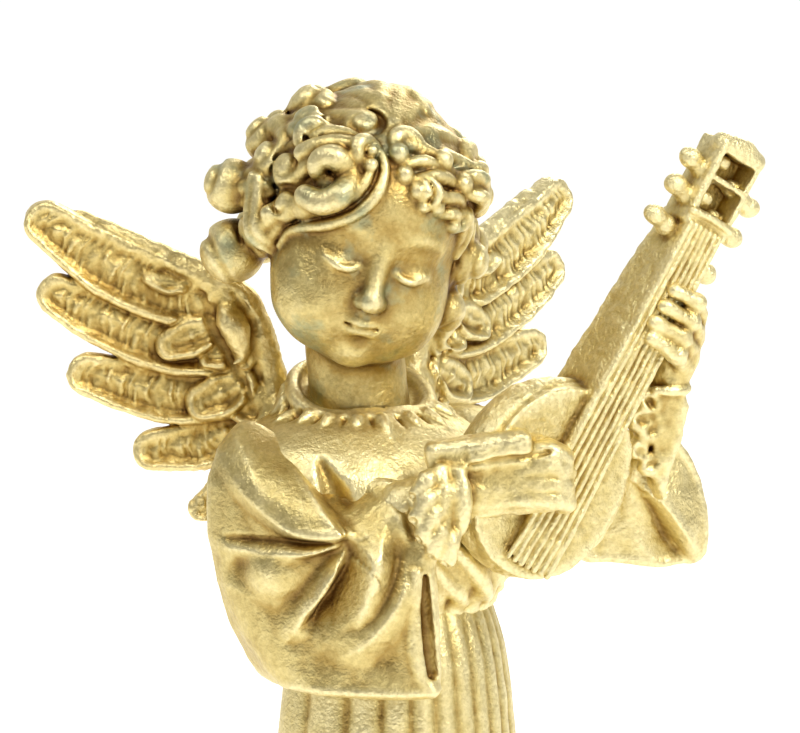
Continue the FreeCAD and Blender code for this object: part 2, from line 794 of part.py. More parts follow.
def make_lute_bowl(owner):
    """A sphere that a cone meets at a tangent, then the front half taken off for the soundboard."""
    centre = SIZES["lute_half_width"] - SIZES["lute_bottom"]
    bowl = owner.newObject("PartDesign::AdditiveSphere", "bowl")
    bind(bowl, "Radius", "<lute_half_width>")
    bowl.Placement = Placement(Vector(0, 0, centre), Rotation())
    shoulder = owner.newObject("PartDesign::AdditiveCone", "bowl_shoulder")
    bind(shoulder, "Radius1", f"<lute_half_width> * {math.cos(TANGENT):.3f}")
    bind(shoulder, "Radius2", "<fretboard_width> / 2")
    shoulder.Height = 7.6
    shoulder.Placement = Placement(
        Vector(0, 0, centre + SIZES["lute_half_width"] * math.sin(TANGENT)), Rotation()
    )
    doc.recompute()
    front = sketch(owner, "soundboard_plane", "XZ_Plane")
    outline(front, rectangle("4 * <lute_half_width>", "-2 * <lute_bottom>", "2 * <lute_bottom>"))
    pocket = feature(owner, "Pocket", "flat_front", front, Length=20.0, Reversed=True)
    if pocket.Shape.BoundBox.YMin < -0.001:
        raise RuntimeError("the soundboard's plane cut the wrong half of the bowl")


def make_lute():
    """A round-backed lute: bowl, neck, fingerboard with strings, pierced pegbox and pegs."""
    aim = Vector(LUTE_AIM).normalize()
    face = LUTE_FACE - aim * LUTE_FACE.dot(aim)
    face.normalize()
    turn = Rotation(aim.cross(face), face.negative(), aim, "ZYX")
    made = body("lute_body")
    make_lute_bowl(made)
    neck_low = sketch(made, "neck_low", "XY_Plane", SIZES["neck_start"])
    outline(neck_low, rectangle("<fretboard_width>", 0.0, "<fretboard_depth>"))
    neck_high = sketch(made, "neck_high", "XY_Plane", SIZES["nut_at"])
    outline(neck_high, rectangle("<nut_width>", 0.0, "<nut_depth>"))
    feature(made, "AdditiveLoft", "neck_loft", neck_low, Sections=[neck_high])
    pegbox = sketch(made, "pegbox_outline", "XY_Plane", SIZES["nut_at"])
    outline(pegbox, rectangle("<pegbox_width>", 0.0, "<pegbox_depth>"))
    feature(made, "Pad", "pegbox_block", pegbox, Length="<pegbox_length>")
    board_start, board_length = -0.8 * SIZES["lute_bottom"], "<nut_at> + 0.8 * <lute_bottom>"
    board = sketch(made, "fingerboard_outline", "XY_Plane", board_start)
    outline(board, rectangle("<nut_width>", "-<board_thick>", 0.0))
    feature(made, "Pad", "fingerboard", board, Length=board_length)
    string = sketch(made, "string_circle", "XY_Plane", board_start)
    circle(string, "<string_radius>", "-2.5 * <string_pitch>", "-<board_thick>")
    first = feature(made, "Pad", "first_string", string, Length=board_length)
    repeat(made, "strings", first, (string, ["H_Axis"]), "5 * <string_pitch>", 6)
    window = sketch(made, "window_square", "XZ_Plane")
    outline(window, rectangle("<window_side>", "<nut_at> + 0.7", "<nut_at> + 0.7 + <window_side>"))
    before = made.Shape.Volume
    pocket = feature(made, "Pocket", "window", window, Length="<window_depth>")
    if pocket.Shape.Volume >= before - 1:
        raise RuntimeError("the pegbox window cuts nothing")
    repeat(made, "windows", pocket, (window, ["V_Axis"]), "<window_pitch>", 2)
    peg = sketch(made, "peg_circle", "YZ_Plane")
    circle(peg, "<peg_radius>", "<pegbox_depth> / 2", "<nut_at> - 0.6")
    first_peg = feature(made, "Pad", "first_peg", peg, Midplane=True, Length="<peg_span>")
    repeat(made, "pegs", first_peg, (peg, ["V_Axis"]), "2 * <peg_pitch>", 3)
    home = Placement(LUTE, turn)
    return keep(cut("lute_drilled", made, [socket(lute_dowel, "small", home)]), "lute", LUTE, turn)


# ---- assembly -------------------------------------------------------------------------------------

make_felt_pad()
make_plinth()
make_base_screw()
skirt = make_robe_skirt()
lute = make_lute()
bodice = make_robe_bodice([lute])
make_head()
right_sleeve = make_right_sleeve([bodice, skirt])
left_sleeve = make_left_sleeve([bodice, lute])
right_thumb = [Vector(-1.8, -0.4, 5.0), Vector(-3.0, 0.2, 8.6)]
left_thumb = [Vector(-0.6, 0.9, 4.4), Vector(-1.2, 1.8, 7.6)]
right_home = Placement(RIGHT_WRIST, aimed(RIGHT_HAND_AIM))
left_home = Placement(LEFT_WRIST, aimed(LEFT_HAND_AIM))
right_chains = [*right_fingers(), right_thumb]
left_chains = [*left_fingers(), left_thumb]
make_hand("right_hand", right_wrist_dowel, right_home, 0, right_chains, [right_sleeve, lute])
make_hand("left_hand", left_wrist_dowel, left_home, 90, left_chains, [left_sleeve, lute])
make_wing("right_wing", right_wing_dowel, RIGHT_WING, -1)
make_wing("left_wing", left_wing_dowel, LEFT_WING, 1)
doc.removeObject(scratch.Name)
doc.recompute()

failed = [o.Label for o in doc.Objects if {"Invalid", "Error"} & set(o.State)]
if failed:
    raise RuntimeError(f"these objects failed to build: {failed}")

os.makedirs("parts", exist_ok=True)
for made in finished:
    shape = made.Shape
    if shape.isNull() or not shape.isValid() or not shape.Solids:
        raise RuntimeError(f"{made.Label} is not a valid solid")
    shape.exportStep(f"parts/{made.Label}.step")
    print(f"{made.Label}: {len(shape.Solids)} solid(s), {shape.Volume:.1f} mm3")
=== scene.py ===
import math

import bpy
import numpy as np
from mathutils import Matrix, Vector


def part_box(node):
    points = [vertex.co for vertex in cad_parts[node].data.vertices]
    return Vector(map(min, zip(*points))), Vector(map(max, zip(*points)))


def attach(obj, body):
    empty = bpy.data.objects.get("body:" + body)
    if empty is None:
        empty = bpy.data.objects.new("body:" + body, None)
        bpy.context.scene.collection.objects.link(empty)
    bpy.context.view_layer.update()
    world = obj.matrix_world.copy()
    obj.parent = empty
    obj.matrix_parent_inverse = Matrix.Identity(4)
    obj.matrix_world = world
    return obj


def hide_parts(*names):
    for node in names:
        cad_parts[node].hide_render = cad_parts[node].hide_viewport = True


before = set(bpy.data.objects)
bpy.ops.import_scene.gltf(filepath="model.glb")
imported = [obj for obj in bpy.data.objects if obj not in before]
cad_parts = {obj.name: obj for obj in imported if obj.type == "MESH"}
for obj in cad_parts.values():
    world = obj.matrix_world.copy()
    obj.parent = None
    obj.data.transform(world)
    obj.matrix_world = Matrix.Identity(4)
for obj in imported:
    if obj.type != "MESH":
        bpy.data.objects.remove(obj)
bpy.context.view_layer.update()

import openvdb
from mathutils import Euler, Matrix, Vector

MM = 0.001
FAR = 3.0               # mm, distances beyond this are not kept
CREASE_REACH = 0.45     # mm, how far round a point the crease measure looks, for the painted highlight on edges and painted shade in creases
RECESS_REACH = 1.3      # and for a wider hollow, for the painted shade in recesses
# mm, how fine each casting's clay is, with the number of triangles of each kept under 200,000
CELLS = {
    "robe_skirt": 0.3, "robe_bodice": 0.2, "right_sleeve": 0.18, "left_sleeve": 0.18, "right_hand": 0.11,
    "left_hand": 0.11, "right_wing": 0.137, "left_wing": 0.137, "lute": 0.142, "head": 0.197,
}


# -------- places

def centre_of(node):
    """Middle of a CAD node's box, in millimetres."""
    low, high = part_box(node)
    return Vector([(a + b) / 2 / MM for a, b in zip(low, high)])


def place(origin, along=None, face=None):
    """A local frame in mm: its z runs along one direction and its -y looks along another."""
    if along is None:
        return Matrix.Translation(origin)
    z = Vector(along).normalized()
    y = -Vector(face)
    y = (y - z * y.dot(z)).normalized()
    x = y.cross(z)
    turn = Matrix((x, y, z)).transposed().to_4x4()
    return Matrix.Translation(origin) @ turn


# -------- clay

def smooth(points, per=6):
    """Catmull-Rom samples through the points, each of any dimension."""
    p = np.array(points, dtype=float)
    p = np.vstack([2 * p[0] - p[1], p, 2 * p[-1] - p[-2]])
    out = []
    for i in range(1, len(p) - 2):
        for t in np.arange(per) / per:
            out.append(0.5 * (2 * p[i] + (p[i + 1] - p[i - 1]) * t
                              + (2 * p[i - 1] - 5 * p[i] + 4 * p[i + 1] - p[i + 2]) * t ** 2
                              + (3 * p[i] - p[i - 1] - 3 * p[i + 1] + p[i + 2]) * t ** 3))
    out.append(p[-2])
    return np.array(out)


def ball(centre, radius):
    return rod(centre, centre, radius, radius)


def egg(centre, radii, turn=(0, 0, 0)):
    """An ellipsoid turned by Euler degrees."""
    c = np.array(centre, dtype=np.float32)
    r = np.array(radii, dtype=np.float32)
    m = np.array(Euler([math.radians(a) for a in turn]).to_matrix(), dtype=np.float32)
    reach = float(r.max())

    def distance(x, y, z):
        dx, dy, dz = x - c[0], y - c[1], z - c[2]
        q = [m[0, k] * dx + m[1, k] * dy + m[2, k] * dz for k in range(3)]
        k0 = np.sqrt(sum((a / b) ** 2 for a, b in zip(q, r)))
        k1 = np.sqrt(sum((a / b ** 2) ** 2 for a, b in zip(q, r))) + 1e-6
        return k0 * (k0 - 1) / k1

    return [(c - reach, c + reach, distance)]


def rod(a, b, ra, rb):
    """A capsule whose radius runs from ra to rb."""
    a = np.array(a, dtype=np.float32)
    b = np.array(b, dtype=np.float32)
    step = b - a
    length2 = float(step @ step) + 1e-9
    reach = max(ra, rb)

    def distance(x, y, z):
        dx, dy, dz = x - a[0], y - a[1], z - a[2]
        t = np.clip((dx * step[0] + dy * step[1] + dz * step[2]) / length2, 0, 1)
        gap = np.sqrt((dx - t * step[0]) ** 2 + (dy - t * step[1]) ** 2 + (dz - t * step[2]) ** 2)
        return gap - (ra + (rb - ra) * t)

    return [(np.minimum(a, b) - reach, np.maximum(a, b) + reach, distance)]


def rope(points, radii, per=4):
    """A smooth chain of capsules; radii is one number or one for each point."""
    radii = np.broadcast_to(np.array(radii, dtype=float), (len(points),))
    chain = smooth(np.column_stack([np.array(points, dtype=float), radii]), per)
    parts = []
    for p, q in zip(chain[:-1], chain[1:]):
        parts += rod(p[:3], q[:3], max(p[3], 0.02), max(q[3], 0.02))
    return parts


def slab(low, high, edge=0.3, matrix=None):
    """A box with rounded edges, in its own frame if a matrix is given."""
    low, high = np.array(low, dtype=float), np.array(high, dtype=float)
    half = (high - low) / 2 - edge
    mid = (high + low) / 2
    turn = matrix or Matrix.Identity(4)
    inverse = np.array(turn.inverted(), dtype=np.float32)
    corners = [turn @ Vector((a, b, c)) for a in (low[0], high[0]) for b in (low[1], high[1])
               for c in (low[2], high[2])]
    corners = np.array(corners)

    def distance(x, y, z):
        q = [inverse[k, 0] * x + inverse[k, 1] * y + inverse[k, 2] * z + inverse[k, 3] for k in range(3)]
        q = [abs(a - m) - h for a, m, h in zip(q, mid, half)]
        outside = np.sqrt(sum(np.maximum(a, 0) ** 2 for a in q))
        inside = np.minimum(np.maximum(np.maximum(q[0], q[1]), q[2]), 0)
        return outside + inside - edge

    return [(corners.min(axis=0), corners.max(axis=0), distance)]


def soft_min(a, b, blend):
    if blend <= 0:
        return np.minimum(a, b)
    near = np.maximum(blend - abs(a - b), 0)
    return np.minimum(a, b) - near ** 2 / (4 * blend)


def soft_max(a, b, blend):
    return -soft_min(-a, -b, blend)


def outline_distance(points, u, v):
    """Signed distance of (u, v) to a closed outline, negative inside it."""
    p = np.array(points, dtype=np.float32)
    best = np.full(np.broadcast(u, v).shape, 1e6, dtype=np.float32)
    inside = np.zeros(best.shape, dtype=bool)
    for a, b in zip(p, np.roll(p, -1, axis=0)):
        e = b - a
        t = np.clip(((u - a[0]) * e[0] + (v - a[1]) * e[1]) / (e @ e + 1e-9), 0, 1)
        best = np.minimum(best, (u - a[0] - t * e[0]) ** 2 + (v - a[1] - t * e[1]) ** 2)
        crosses = (a[1] > v) != (b[1] > v)
        slope = np.where(crosses, (v - a[1]) / (b[1] - a[1] + 1e-9), 0)
        inside ^= crosses & (u < a[0] + slope * e[0])
    best = np.sqrt(best)
    return np.where(inside, -best, best)


class Clay:
    """A block of distances in mm, negative inside the solid, that is pressed and carved by shapes."""

    def __init__(self, node, low, high):
        self.node = node
        self.cell = CELLS[node] * 1.0
        self.low = np.array(low, dtype=float)
        self.counts = np.ceil((np.array(high) - self.low) / self.cell).astype(int) + 1
        self.field = np.full(self.counts, FAR, dtype=np.float32)

    def window(self, low, high):
        first = np.clip(np.floor((np.array(low) - self.low) / self.cell).astype(int), 0, self.counts)
        last = np.clip(np.ceil((np.array(high) - self.low) / self.cell).astype(int) + 1, first, self.counts)
        return first, last

    def axes(self, first=None, last=None):
        first = np.zeros(3, dtype=int) if first is None else first
        last = self.counts if last is None else last
        x, y, z = (self.low[k] + self.cell * np.arange(first[k], last[k]) for k in range(3))
        x, y, z = (line.astype(np.float32) for line in (x, y, z))
        return x[:, None, None], y[None, :, None], z[None, None, :]

    def plane(self):
        """The x and z of the block's front, as two flat arrays that broadcast together."""
        x, _, z = self.axes()
        return x[:, :, 0], z[:, 0, :]

    def press(self, shape, blend=0.3, carve=False):
        reach = blend + 2 * self.cell
        low = np.min([part[0] for part in shape], axis=0) - reach
        high = np.max([part[1] for part in shape], axis=0) + reach
        first, last = self.window(low, high)
        if np.any(last <= first):
            return
        best = np.full(last - first, FAR, dtype=np.float32)
        for part_low, part_high, distance in shape:
            a, b = self.window(part_low - reach, part_high + reach)
            if np.any(b <= a):
                continue
            spot = tuple(slice(i, j) for i, j in zip(a - first, b - first))
            best[spot] = np.minimum(best[spot], distance(*self.axes(a, b)))
        spot = tuple(slice(i, j) for i, j in zip(first, last))
        old = self.field[spot]
        self.field[spot] = soft_max(old, -best, blend) if carve else soft_min(old, best, blend)

    def carve(self, shape, blend=0.3):
        self.press(shape, blend, carve=True)

    def ridge(self, points, radii, blend, per=4):
        self.press(rope(points, radii, per), blend)

    def groove(self, points, radii, blend, per=4):
        self.carve(rope(points, radii, per), blend)

    def mould(self, distance, blend):
        """Press a whole array of distances, given over all of the block."""
        distance = np.clip(distance, -FAR, FAR).astype(np.float32)
        self.field = soft_min(self.field, distance, blend)

    def sample(self, points, values=None):
        values = self.field if values is None else values
        q = (np.atleast_2d(points) - self.low) / self.cell
        q = np.clip(q, 0, self.counts - 1.001)
        i = np.floor(q).astype(int)
        f = q - i
        total = 0
        for a in (0, 1):
            for b in (0, 1):
                for c in (0, 1):
                    weight = (abs(1 - a - f[:, 0]) * abs(1 - b - f[:, 1]) * abs(1 - c - f[:, 2]))
                    total = total + weight * values[i[:, 0] + a, i[:, 1] + b, i[:, 2] + c]
        return total

    def touch(self, start, end, sink=0.0):
        """Where the straight way from start to end first meets the surface, and a little deeper."""
        start, end = np.array(start, dtype=float), np.array(end, dtype=float)
        way = end - start
        steps = np.linspace(0, 1, int(np.linalg.norm(way) / self.cell * 2) + 2)
        inside = np.flatnonzero(self.sample(start + way * steps[:, None]) < 0)
        hit = steps[inside[0]] if len(inside) else 1.0
        return start + way * hit + way / np.linalg.norm(way) * sink

    def front(self, spots, sink=0.0):
        """Points on the -y side of the surface at each (x, z)."""
        y0, y1 = self.low[1], self.low[1] + self.cell * (self.counts[1] - 1)
        return [self.touch((x, y0, z), (x, y1, z), sink) for x, z in spots]

    def weather(self, size, height, seed):
        """Uneven the surface by a random lattice of the given size and height."""
        cells = np.maximum((self.counts * self.cell / size).astype(int), 1) + 2
        lattice = np.random.default_rng(seed).uniform(-1, 1, cells).astype(np.float32)
        for k in range(3):
            q = np.arange(self.counts[k]) * self.cell / size
            i = np.minimum(q.astype(int), cells[k] - 2)
            t = np.clip(q - i, 0, 1)
            t = (t * t * (3 - 2 * t)).astype(np.float32)
            shape = [1, 1, 1]
            shape[k] = -1
            t = t.reshape(shape)
            lattice = np.take(lattice, i, axis=k) * (1 - t) + np.take(lattice, i + 1, axis=k) * t
        self.field += height * lattice

    def hollowness(self, points, radius):
        """How much solid there is round each point: about 0 on a flat face, over 0 in a recess."""
        solid = np.clip(0.5 - self.field / self.cell, 0, 1)
        n = max(int(round(radius / self.cell)), 1)
        for k in range(3):
            pad = [(n + 1, n) if j == k else (0, 0) for j in range(3)]
            sums = np.cumsum(np.pad(solid, pad), axis=k, dtype=np.float32)
            upper = np.take(sums, np.arange(2 * n + 1, sums.shape[k]), axis=k)
            lower = np.take(sums, np.arange(0, sums.shape[k] - 2 * n - 1), axis=k)
            solid = (upper - lower) / (2 * n + 1)
        return self.sample(points, solid) - 0.5

    def cast(self, where):
        """Turn the clay into a mesh piece that stands for its CAD node."""
        name = self.node + "_cast"
        grid = openvdb.FloatGrid(FAR)
        grid.copyFromArray(self.field)
        points, _, quads = grid.convertToPolygons(isovalue=0.0, adaptivity=0.0)
        points, quads = largest_shell(points, quads)
        local = points * self.cell + self.low
        turn = np.array(where)
        world = (local @ turn[:3, :3].T + turn[:3, 3]) * MM
        mesh = quad_mesh(name, world, quads)
        # crease and recess measures, which the gold turns into a painted highlight on edges and painted shade
        # in creases and recesses
        for label, reach in (("crease", CREASE_REACH), ("recess", RECESS_REACH)):
            values = self.hollowness(local, reach)
            layer = mesh.attributes.new(label, "FLOAT", "POINT")
            layer.data.foreach_set("value", np.ascontiguousarray(values, dtype=np.float32))
        piece = bpy.data.objects.new(name, mesh)
        bpy.context.scene.collection.objects.link(piece)
        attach(piece, "root")
        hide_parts(self.node)
        print(name, len(quads) * 2, "triangles")
        return piece


def largest_shell(points, quads):
    """Keep the biggest connected shell of the mesh, so that no crumb is left in the air."""
    label = np.arange(len(points))
    edges = np.vstack([quads[:, [0, 1]], quads[:, [1, 2]], quads[:, [2, 3]]])
    while True:
        low = np.minimum(label[edges[:, 0]], label[edges[:, 1]])
        new = label.copy()
        np.minimum.at(new, edges[:, 0], low)
        np.minimum.at(new, edges[:, 1], low)
        new = new[new]
        if np.array_equal(new, label):
            break
        label = new
    names, counts = np.unique(label[quads[:, 0]], return_counts=True)
    quads = quads[label[quads[:, 0]] == names[counts.argmax()]]
    used, flat = np.unique(quads, return_inverse=True)
    return points[used], flat.reshape(quads.shape)


def quad_mesh(name, points, quads):
    a, b, c, d = (points[quads[:, k]] for k in range(4))
    volume = np.einsum("ij,ij->i", a, np.cross(b, c) + np.cross(c, d)).sum()
    if volume < 0:
        quads = quads[:, ::-1]
    mesh = bpy.data.meshes.new(name)
    mesh.vertices.add(len(points))
    mesh.vertices.foreach_set("co", np.ascontiguousarray(points, dtype=np.float32).ravel())
    mesh.loops.add(quads.size)
    mesh.loops.foreach_set("vertex_index", np.ascontiguousarray(quads, dtype=np.int32).ravel())
    mesh.polygons.add(len(quads))
    mesh.polygons.foreach_set("loop_start", np.arange(0, quads.size, 4, dtype=np.int32))
    mesh.update(calc_edges=True)
    mesh.validate()
    mesh.shade_smooth()
    return mesh


def tower(clay, levels, relief=None):
    """Mould stacked ellipses; levels are (z, centre x, centre y, radius x, radius y)."""
    rows = smooth(levels, 8)
    x, y, z = clay.axes()
    cx, cy, rx, ry = (np.interp(z, rows[:, 0], rows[:, k]).astype(np.float32) for k in range(1, 5))
    dx, dy = x - cx, y - cy
    k0 = np.sqrt((dx / rx) ** 2 + (dy / ry) ** 2)
    k1 = np.sqrt((dx / rx ** 2) ** 2 + (dy / ry ** 2) ** 2) + 1e-6
    distance = k0 * (k0 - 1) / k1
    if relief is not None:
        distance = distance - relief(np.arctan2(dy, dx), z)
    distance = soft_max(distance, levels[0][0] - z, 0.4)
    distance = soft_max(distance, z - levels[-1][0], 0.4)
    clay.mould(distance, 0.0)


# -------- robe

BELT = centre_of("waist_dowel")
SKIRT_LENGTH = BELT.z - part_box("robe_skirt")[0][2] / MM


def make_skirt():
    """The hanging skirt: narrow organ-pipe pleats at the figure's left front, wide panels at its right."""
    pleats = 19
    bunching = 14.0
    narrow_at = math.radians(-40)

    def relief(angle, z):
        down = np.clip(-z / SKIRT_LENGTH, 0, 1)
        phase = pleats * angle + bunching * np.sin(angle - narrow_at) + 0.35 * np.sin(5 * down)
        depth = 0.55 + 0.8 * down ** 0.8
        width = 1.0 + bunching / pleats * np.cos(angle - narrow_at)
        return depth * (abs(np.cos(phase / 2)) ** 0.8 - 0.6) * np.clip(1.35 - 0.5 * width, 0.5, 1.2)

    levels = [
        (-SKIRT_LENGTH, 0.0, 0.5, 15.6, 13.8),
        (-SKIRT_LENGTH + 1.5, 0.0, 0.5, 15.7, 13.9),
        (-SKIRT_LENGTH * 0.75, 0.0, 0.4, 14.2, 12.7),
        (-SKIRT_LENGTH * 0.52, 0.0, 0.3, 12.7, 11.6),
        (-SKIRT_LENGTH * 0.25, -0.2, 0.1, 11.0, 10.4),
        (-6.0, -0.3, 0.0, 10.0, 9.5),
        (-1.5, -0.4, 0.0, 9.0, 8.6),
        (0.4, -0.4, 0.0, 8.3, 7.8),
    ]
    clay = Clay("robe_skirt", (-18, -17, -SKIRT_LENGTH - 1), (18, 17, 1.5))
    tower(clay, levels, relief)
    clay.weather(2.0, 0.08, 1)
    return clay.cast(place(BELT))


COLLAR_TILT = math.radians(-22)
COLLAR_RADIUS = 6.2


def make_bodice():
    """The bloused chest, gathered at the waist, with a few long folds across it."""
    gathers = 30

    def relief(angle, z):
        low = np.exp(-((z - 1.2) / 1.7) ** 2)
        full = np.exp(-((z - 4.0) / 3.0) ** 2)
        wave = abs(np.cos(gathers * angle / 2 + 0.9 * np.sin(3 * angle)))
        slow = np.cos(7 * angle + 0.35 * z)
        side = np.clip(np.cos(angle + 0.6) + 0.7, 0, 1)
        return 0.55 * low * (wave - 0.5) + 0.45 * full * (slow - 0.2) * side

    levels = [
        (-0.6, 0.0, 0.0, 8.7, 8.0),
        (0.4, 0.0, 0.0, 8.9, 8.2),
        (2.4, -0.3, -0.2, 10.0, 9.3),
        (5.2, -1.3, -0.4, 11.0, 9.8),
        (11.0, -2.8, 0.2, 12.3, 9.8),
        (13.8, -3.3, 1.0, 11.8, 9.1),
        (15.8, -3.1, 1.8, 9.9, 7.9),
        (17.0, -2.8, 2.3, 7.2, 6.6),
        (17.9, -2.8, 2.6, 5.4, 5.3),
    ]
    clay = Clay("robe_bodice", (-17, -15, -1.6), (13, 13, 22))
    tower(clay, levels, relief)
    press_collar(clay)
    folds = (
        ((-1.0, 7.6), (1.8, 5.4), (4.4, 2.4), (5.6, 0.9)),
        ((1.6, 8.8), (4.2, 6.2), (6.4, 3.4), (7.4, 1.4)),
        ((-3.4, 6.6), (-0.8, 4.4), (1.6, 2.0), (3.0, 0.8)),
        ((4.2, 9.4), (6.6, 7.2), (8.4, 4.6), (9.0, 2.4)),
    )
    for fold in folds:
        clay.ridge(clay.front(fold, 0.1), (0.45, 0.75, 0.75, 0.5), 0.6)
    hollow = ((-10.0, 13.8), (-9.5, 11.8), (-8.8, 9.4), (-8.2, 8.0))
    clay.groove(clay.front(hollow, 0.2), (0.3, 0.9, 1.1, 0.9), 0.8)
    clay.weather(1.6, 0.06, 2)
    return clay.cast(place(BELT))


def press_collar(clay):
    """The ring round the tilted neck, and the short petals that hang from it over the chest."""
    neck = centre_of("neck_dowel") - BELT

    def round_neck(turn, radius, drop):
        """A point of a circle about the tilted neck."""
        x, y = math.cos(turn) * radius, math.sin(turn) * radius
        spot = Vector((x, y * math.cos(COLLAR_TILT), -y * math.sin(COLLAR_TILT) - drop))
        return neck + spot

    def on_chest(turn, out, sink):
        """Where the chest lies below the ring, at a distance outside it."""
        high = round_neck(turn, COLLAR_RADIUS + out, -6.0)
        low = round_neck(turn, COLLAR_RADIUS + out * 0.7, 9.0)
        return clay.touch(high, low, sink)

    turns = np.radians(np.arange(0, 361, 15))
    clay.ridge([round_neck(t, COLLAR_RADIUS * 0.95, 2.0) for t in turns], 1.7, 1.0, 2)
    clay.ridge([round_neck(t, COLLAR_RADIUS, 0.2) for t in turns], 0.75, 0.3, 2)
    clay.groove([round_neck(t, COLLAR_RADIUS - 1.3, -0.5) for t in turns], 0.75, 0.2, 2)
    clay.groove([round_neck(t, COLLAR_RADIUS + 0.95, 0.8) for t in turns], 0.28, 0.3, 2)
    rng = np.random.default_rng(5)
    for degrees in range(-172, 188, 20):
        turn = math.radians(degrees + rng.uniform(-2, 2))
        long = 2.2 + rng.uniform(-0.8, 0.6)
        petal = [on_chest(turn, out, 0.0) for out in (0.9, 0.9 + long * 0.5, 0.9 + long)]
        clay.ridge(petal, (0.5, 0.42, 0.12), 0.3, 3)
        beside = math.radians(degrees + 10)
        gap = [on_chest(beside, out, 0.05) for out in (0.9, 1.7, 2.6)]
        clay.groove(gap, (0.3, 0.22, 0.05), 0.3, 3)


# -------- right sleeve

def fold_line(u, v, line, heights, left, right):
    """A creased fold on a plane: its height falls off evenly to nothing at a width on each side."""
    chain = smooth(np.column_stack([line, heights]), 8)
    best = np.full(np.broadcast(u, v).shape, 1e3, dtype=np.float32)
    height = np.zeros_like(best)
    side = np.zeros_like(best)
    for a, b in zip(chain[:-1], chain[1:]):
        e = b[:2] - a[:2]
        t = np.clip(((u - a[0]) * e[0] + (v - a[1]) * e[1]) / (e @ e + 1e-9), 0, 1)
        gap = np.hypot(u - a[0] - t * e[0], v - a[1] - t * e[1])
        closer = gap < best
        best = np.where(closer, gap, best)
        height = np.where(closer, a[2] + (b[2] - a[2]) * t, height)
        side = np.where(closer, e[0] * (v - a[1]) - e[1] * (u - a[0]), side)
    width = np.where(side > 0, left, right)
    return height * np.clip(1 - best / width, 0, 1)


def folded(clay, ridges, valleys):
    """Relief of crossing folds: the highest ridge at each place, less every valley."""
    u, v = clay.plane()
    relief = np.zeros(np.broadcast(u, v).shape, dtype=np.float32)
    for fold in ridges:
        relief = np.maximum(relief, fold_line(u, v, *fold))
    for fold in valleys:
        relief = relief - fold_line(u, v, *fold)
    return relief


def dent(u, v, x, z, size, depth):
    return depth * np.exp(-((u - x) ** 2 + (v - z) ** 2) / size ** 2)


SLEEVE_OUTLINE = [
    (0.6, 7.9), (-2.0, 7.0), (-4.4, 5.3), (-6.4, 3.0), (-7.4, 0.0), (-7.3, -4.4), (-6.5, -8.8), (-5.2, -12.9),
    (-3.6, -16.0), (-2.5, -17.6), (0.0, -18.0), (4.4, -18.1), (8.4, -18.1), (9.7, -17.3), (9.9, -15.6),
    (9.6, -10.4), (9.4, -6.0), (10.2, -2.6), (9.8, -0.2), (8.2, 2.4), (6.6, 4.6), (4.0, 7.2), (2.4, 8.4),
]
KNOT = (1.3, -4.1)      # where the sleeve's folds meet, at the bend of the elbow
# each fold: its line, its height along that line, and how far it reaches to its left and right
SLEEVE_RIDGES = [
    (((-6.6, 3.4), (-6.0, 0.3), (-4.8, -1.6), (-2.9, -3.2), (-0.5, -3.7), KNOT),
     (0.3, 0.9, 1.1, 1.1, 0.8, 0.4), 6.0, 0.55),
    (((-6.5, -5.2), (-2.4, -5.1), KNOT), (0.5, 1.2, 0.7), 1.0, 1.5),
    (((-2.1, -11.9), (-0.6, -7.9), (1.5, -4.5)), (0.5, 1.5, 0.8), 1.5, 1.3),
    (((1.9, -3.6), (2.9, -5.4), (2.5, -9.0), (2.1, -12.4)), (0.8, 1.8, 1.2, 0.1), 3.4, 1.5),
    (((0.3, -1.4), (1.0, -2.6), KNOT), (0.1, 0.7, 0.5), 0.6, 0.6),
    (((0.6, -14.8), (3.0, -12.4), (5.4, -8.6), (6.2, -5.6)), (0.1, 0.8, 0.9, 0.4), 2.0, 2.2),
]
SLEEVE_CREST = (((-1.7, 5.0), (-1.3, 2.8), (-0.9, 0.7), (-0.3, -1.7), KNOT),
                (0.0, 1.3, 2.8, 3.0, 0.8), 1.5, 5.0)
SLEEVE_VALLEYS = [
    (((1.0, 3.6), (1.8, 0.8), (2.6, -1.0), (1.8, -3.6)), (0.1, 1.0, 1.1, 0.5), 2.2, 1.4),
    (((-6.3, -4.5), (-2.4, -4.2), (1.0, -3.9)), (0.4, 0.6, 0.3), 0.6, 0.6),
    (((-6.2, -5.9), (-4.7, -6.8), (-2.9, -7.3), (-1.1, -5.9), (1.5, -4.3)),
     (0.2, 0.9, 1.1, 0.9, 0.4), 1.2, 2.4),
    (((-2.2, -11.2), (-1.9, -8.3), (-0.9, -6.2), (1.5, -4.5)), (0.1, 0.7, 0.9, 0.4), 1.0, 1.0),
    (((-1.9, -12.3), (0.3, -9.5), (1.3, -7.1), (1.8, -4.7)), (0.2, 1.1, 1.0, 0.4), 1.1, 1.9),
    (((4.6, -0.6), (5.6, -3.0), (5.2, -6.0), (3.6, -10.4)), (0.5, 0.7, 0.5, 0.1), 2.0, 2.6),
]


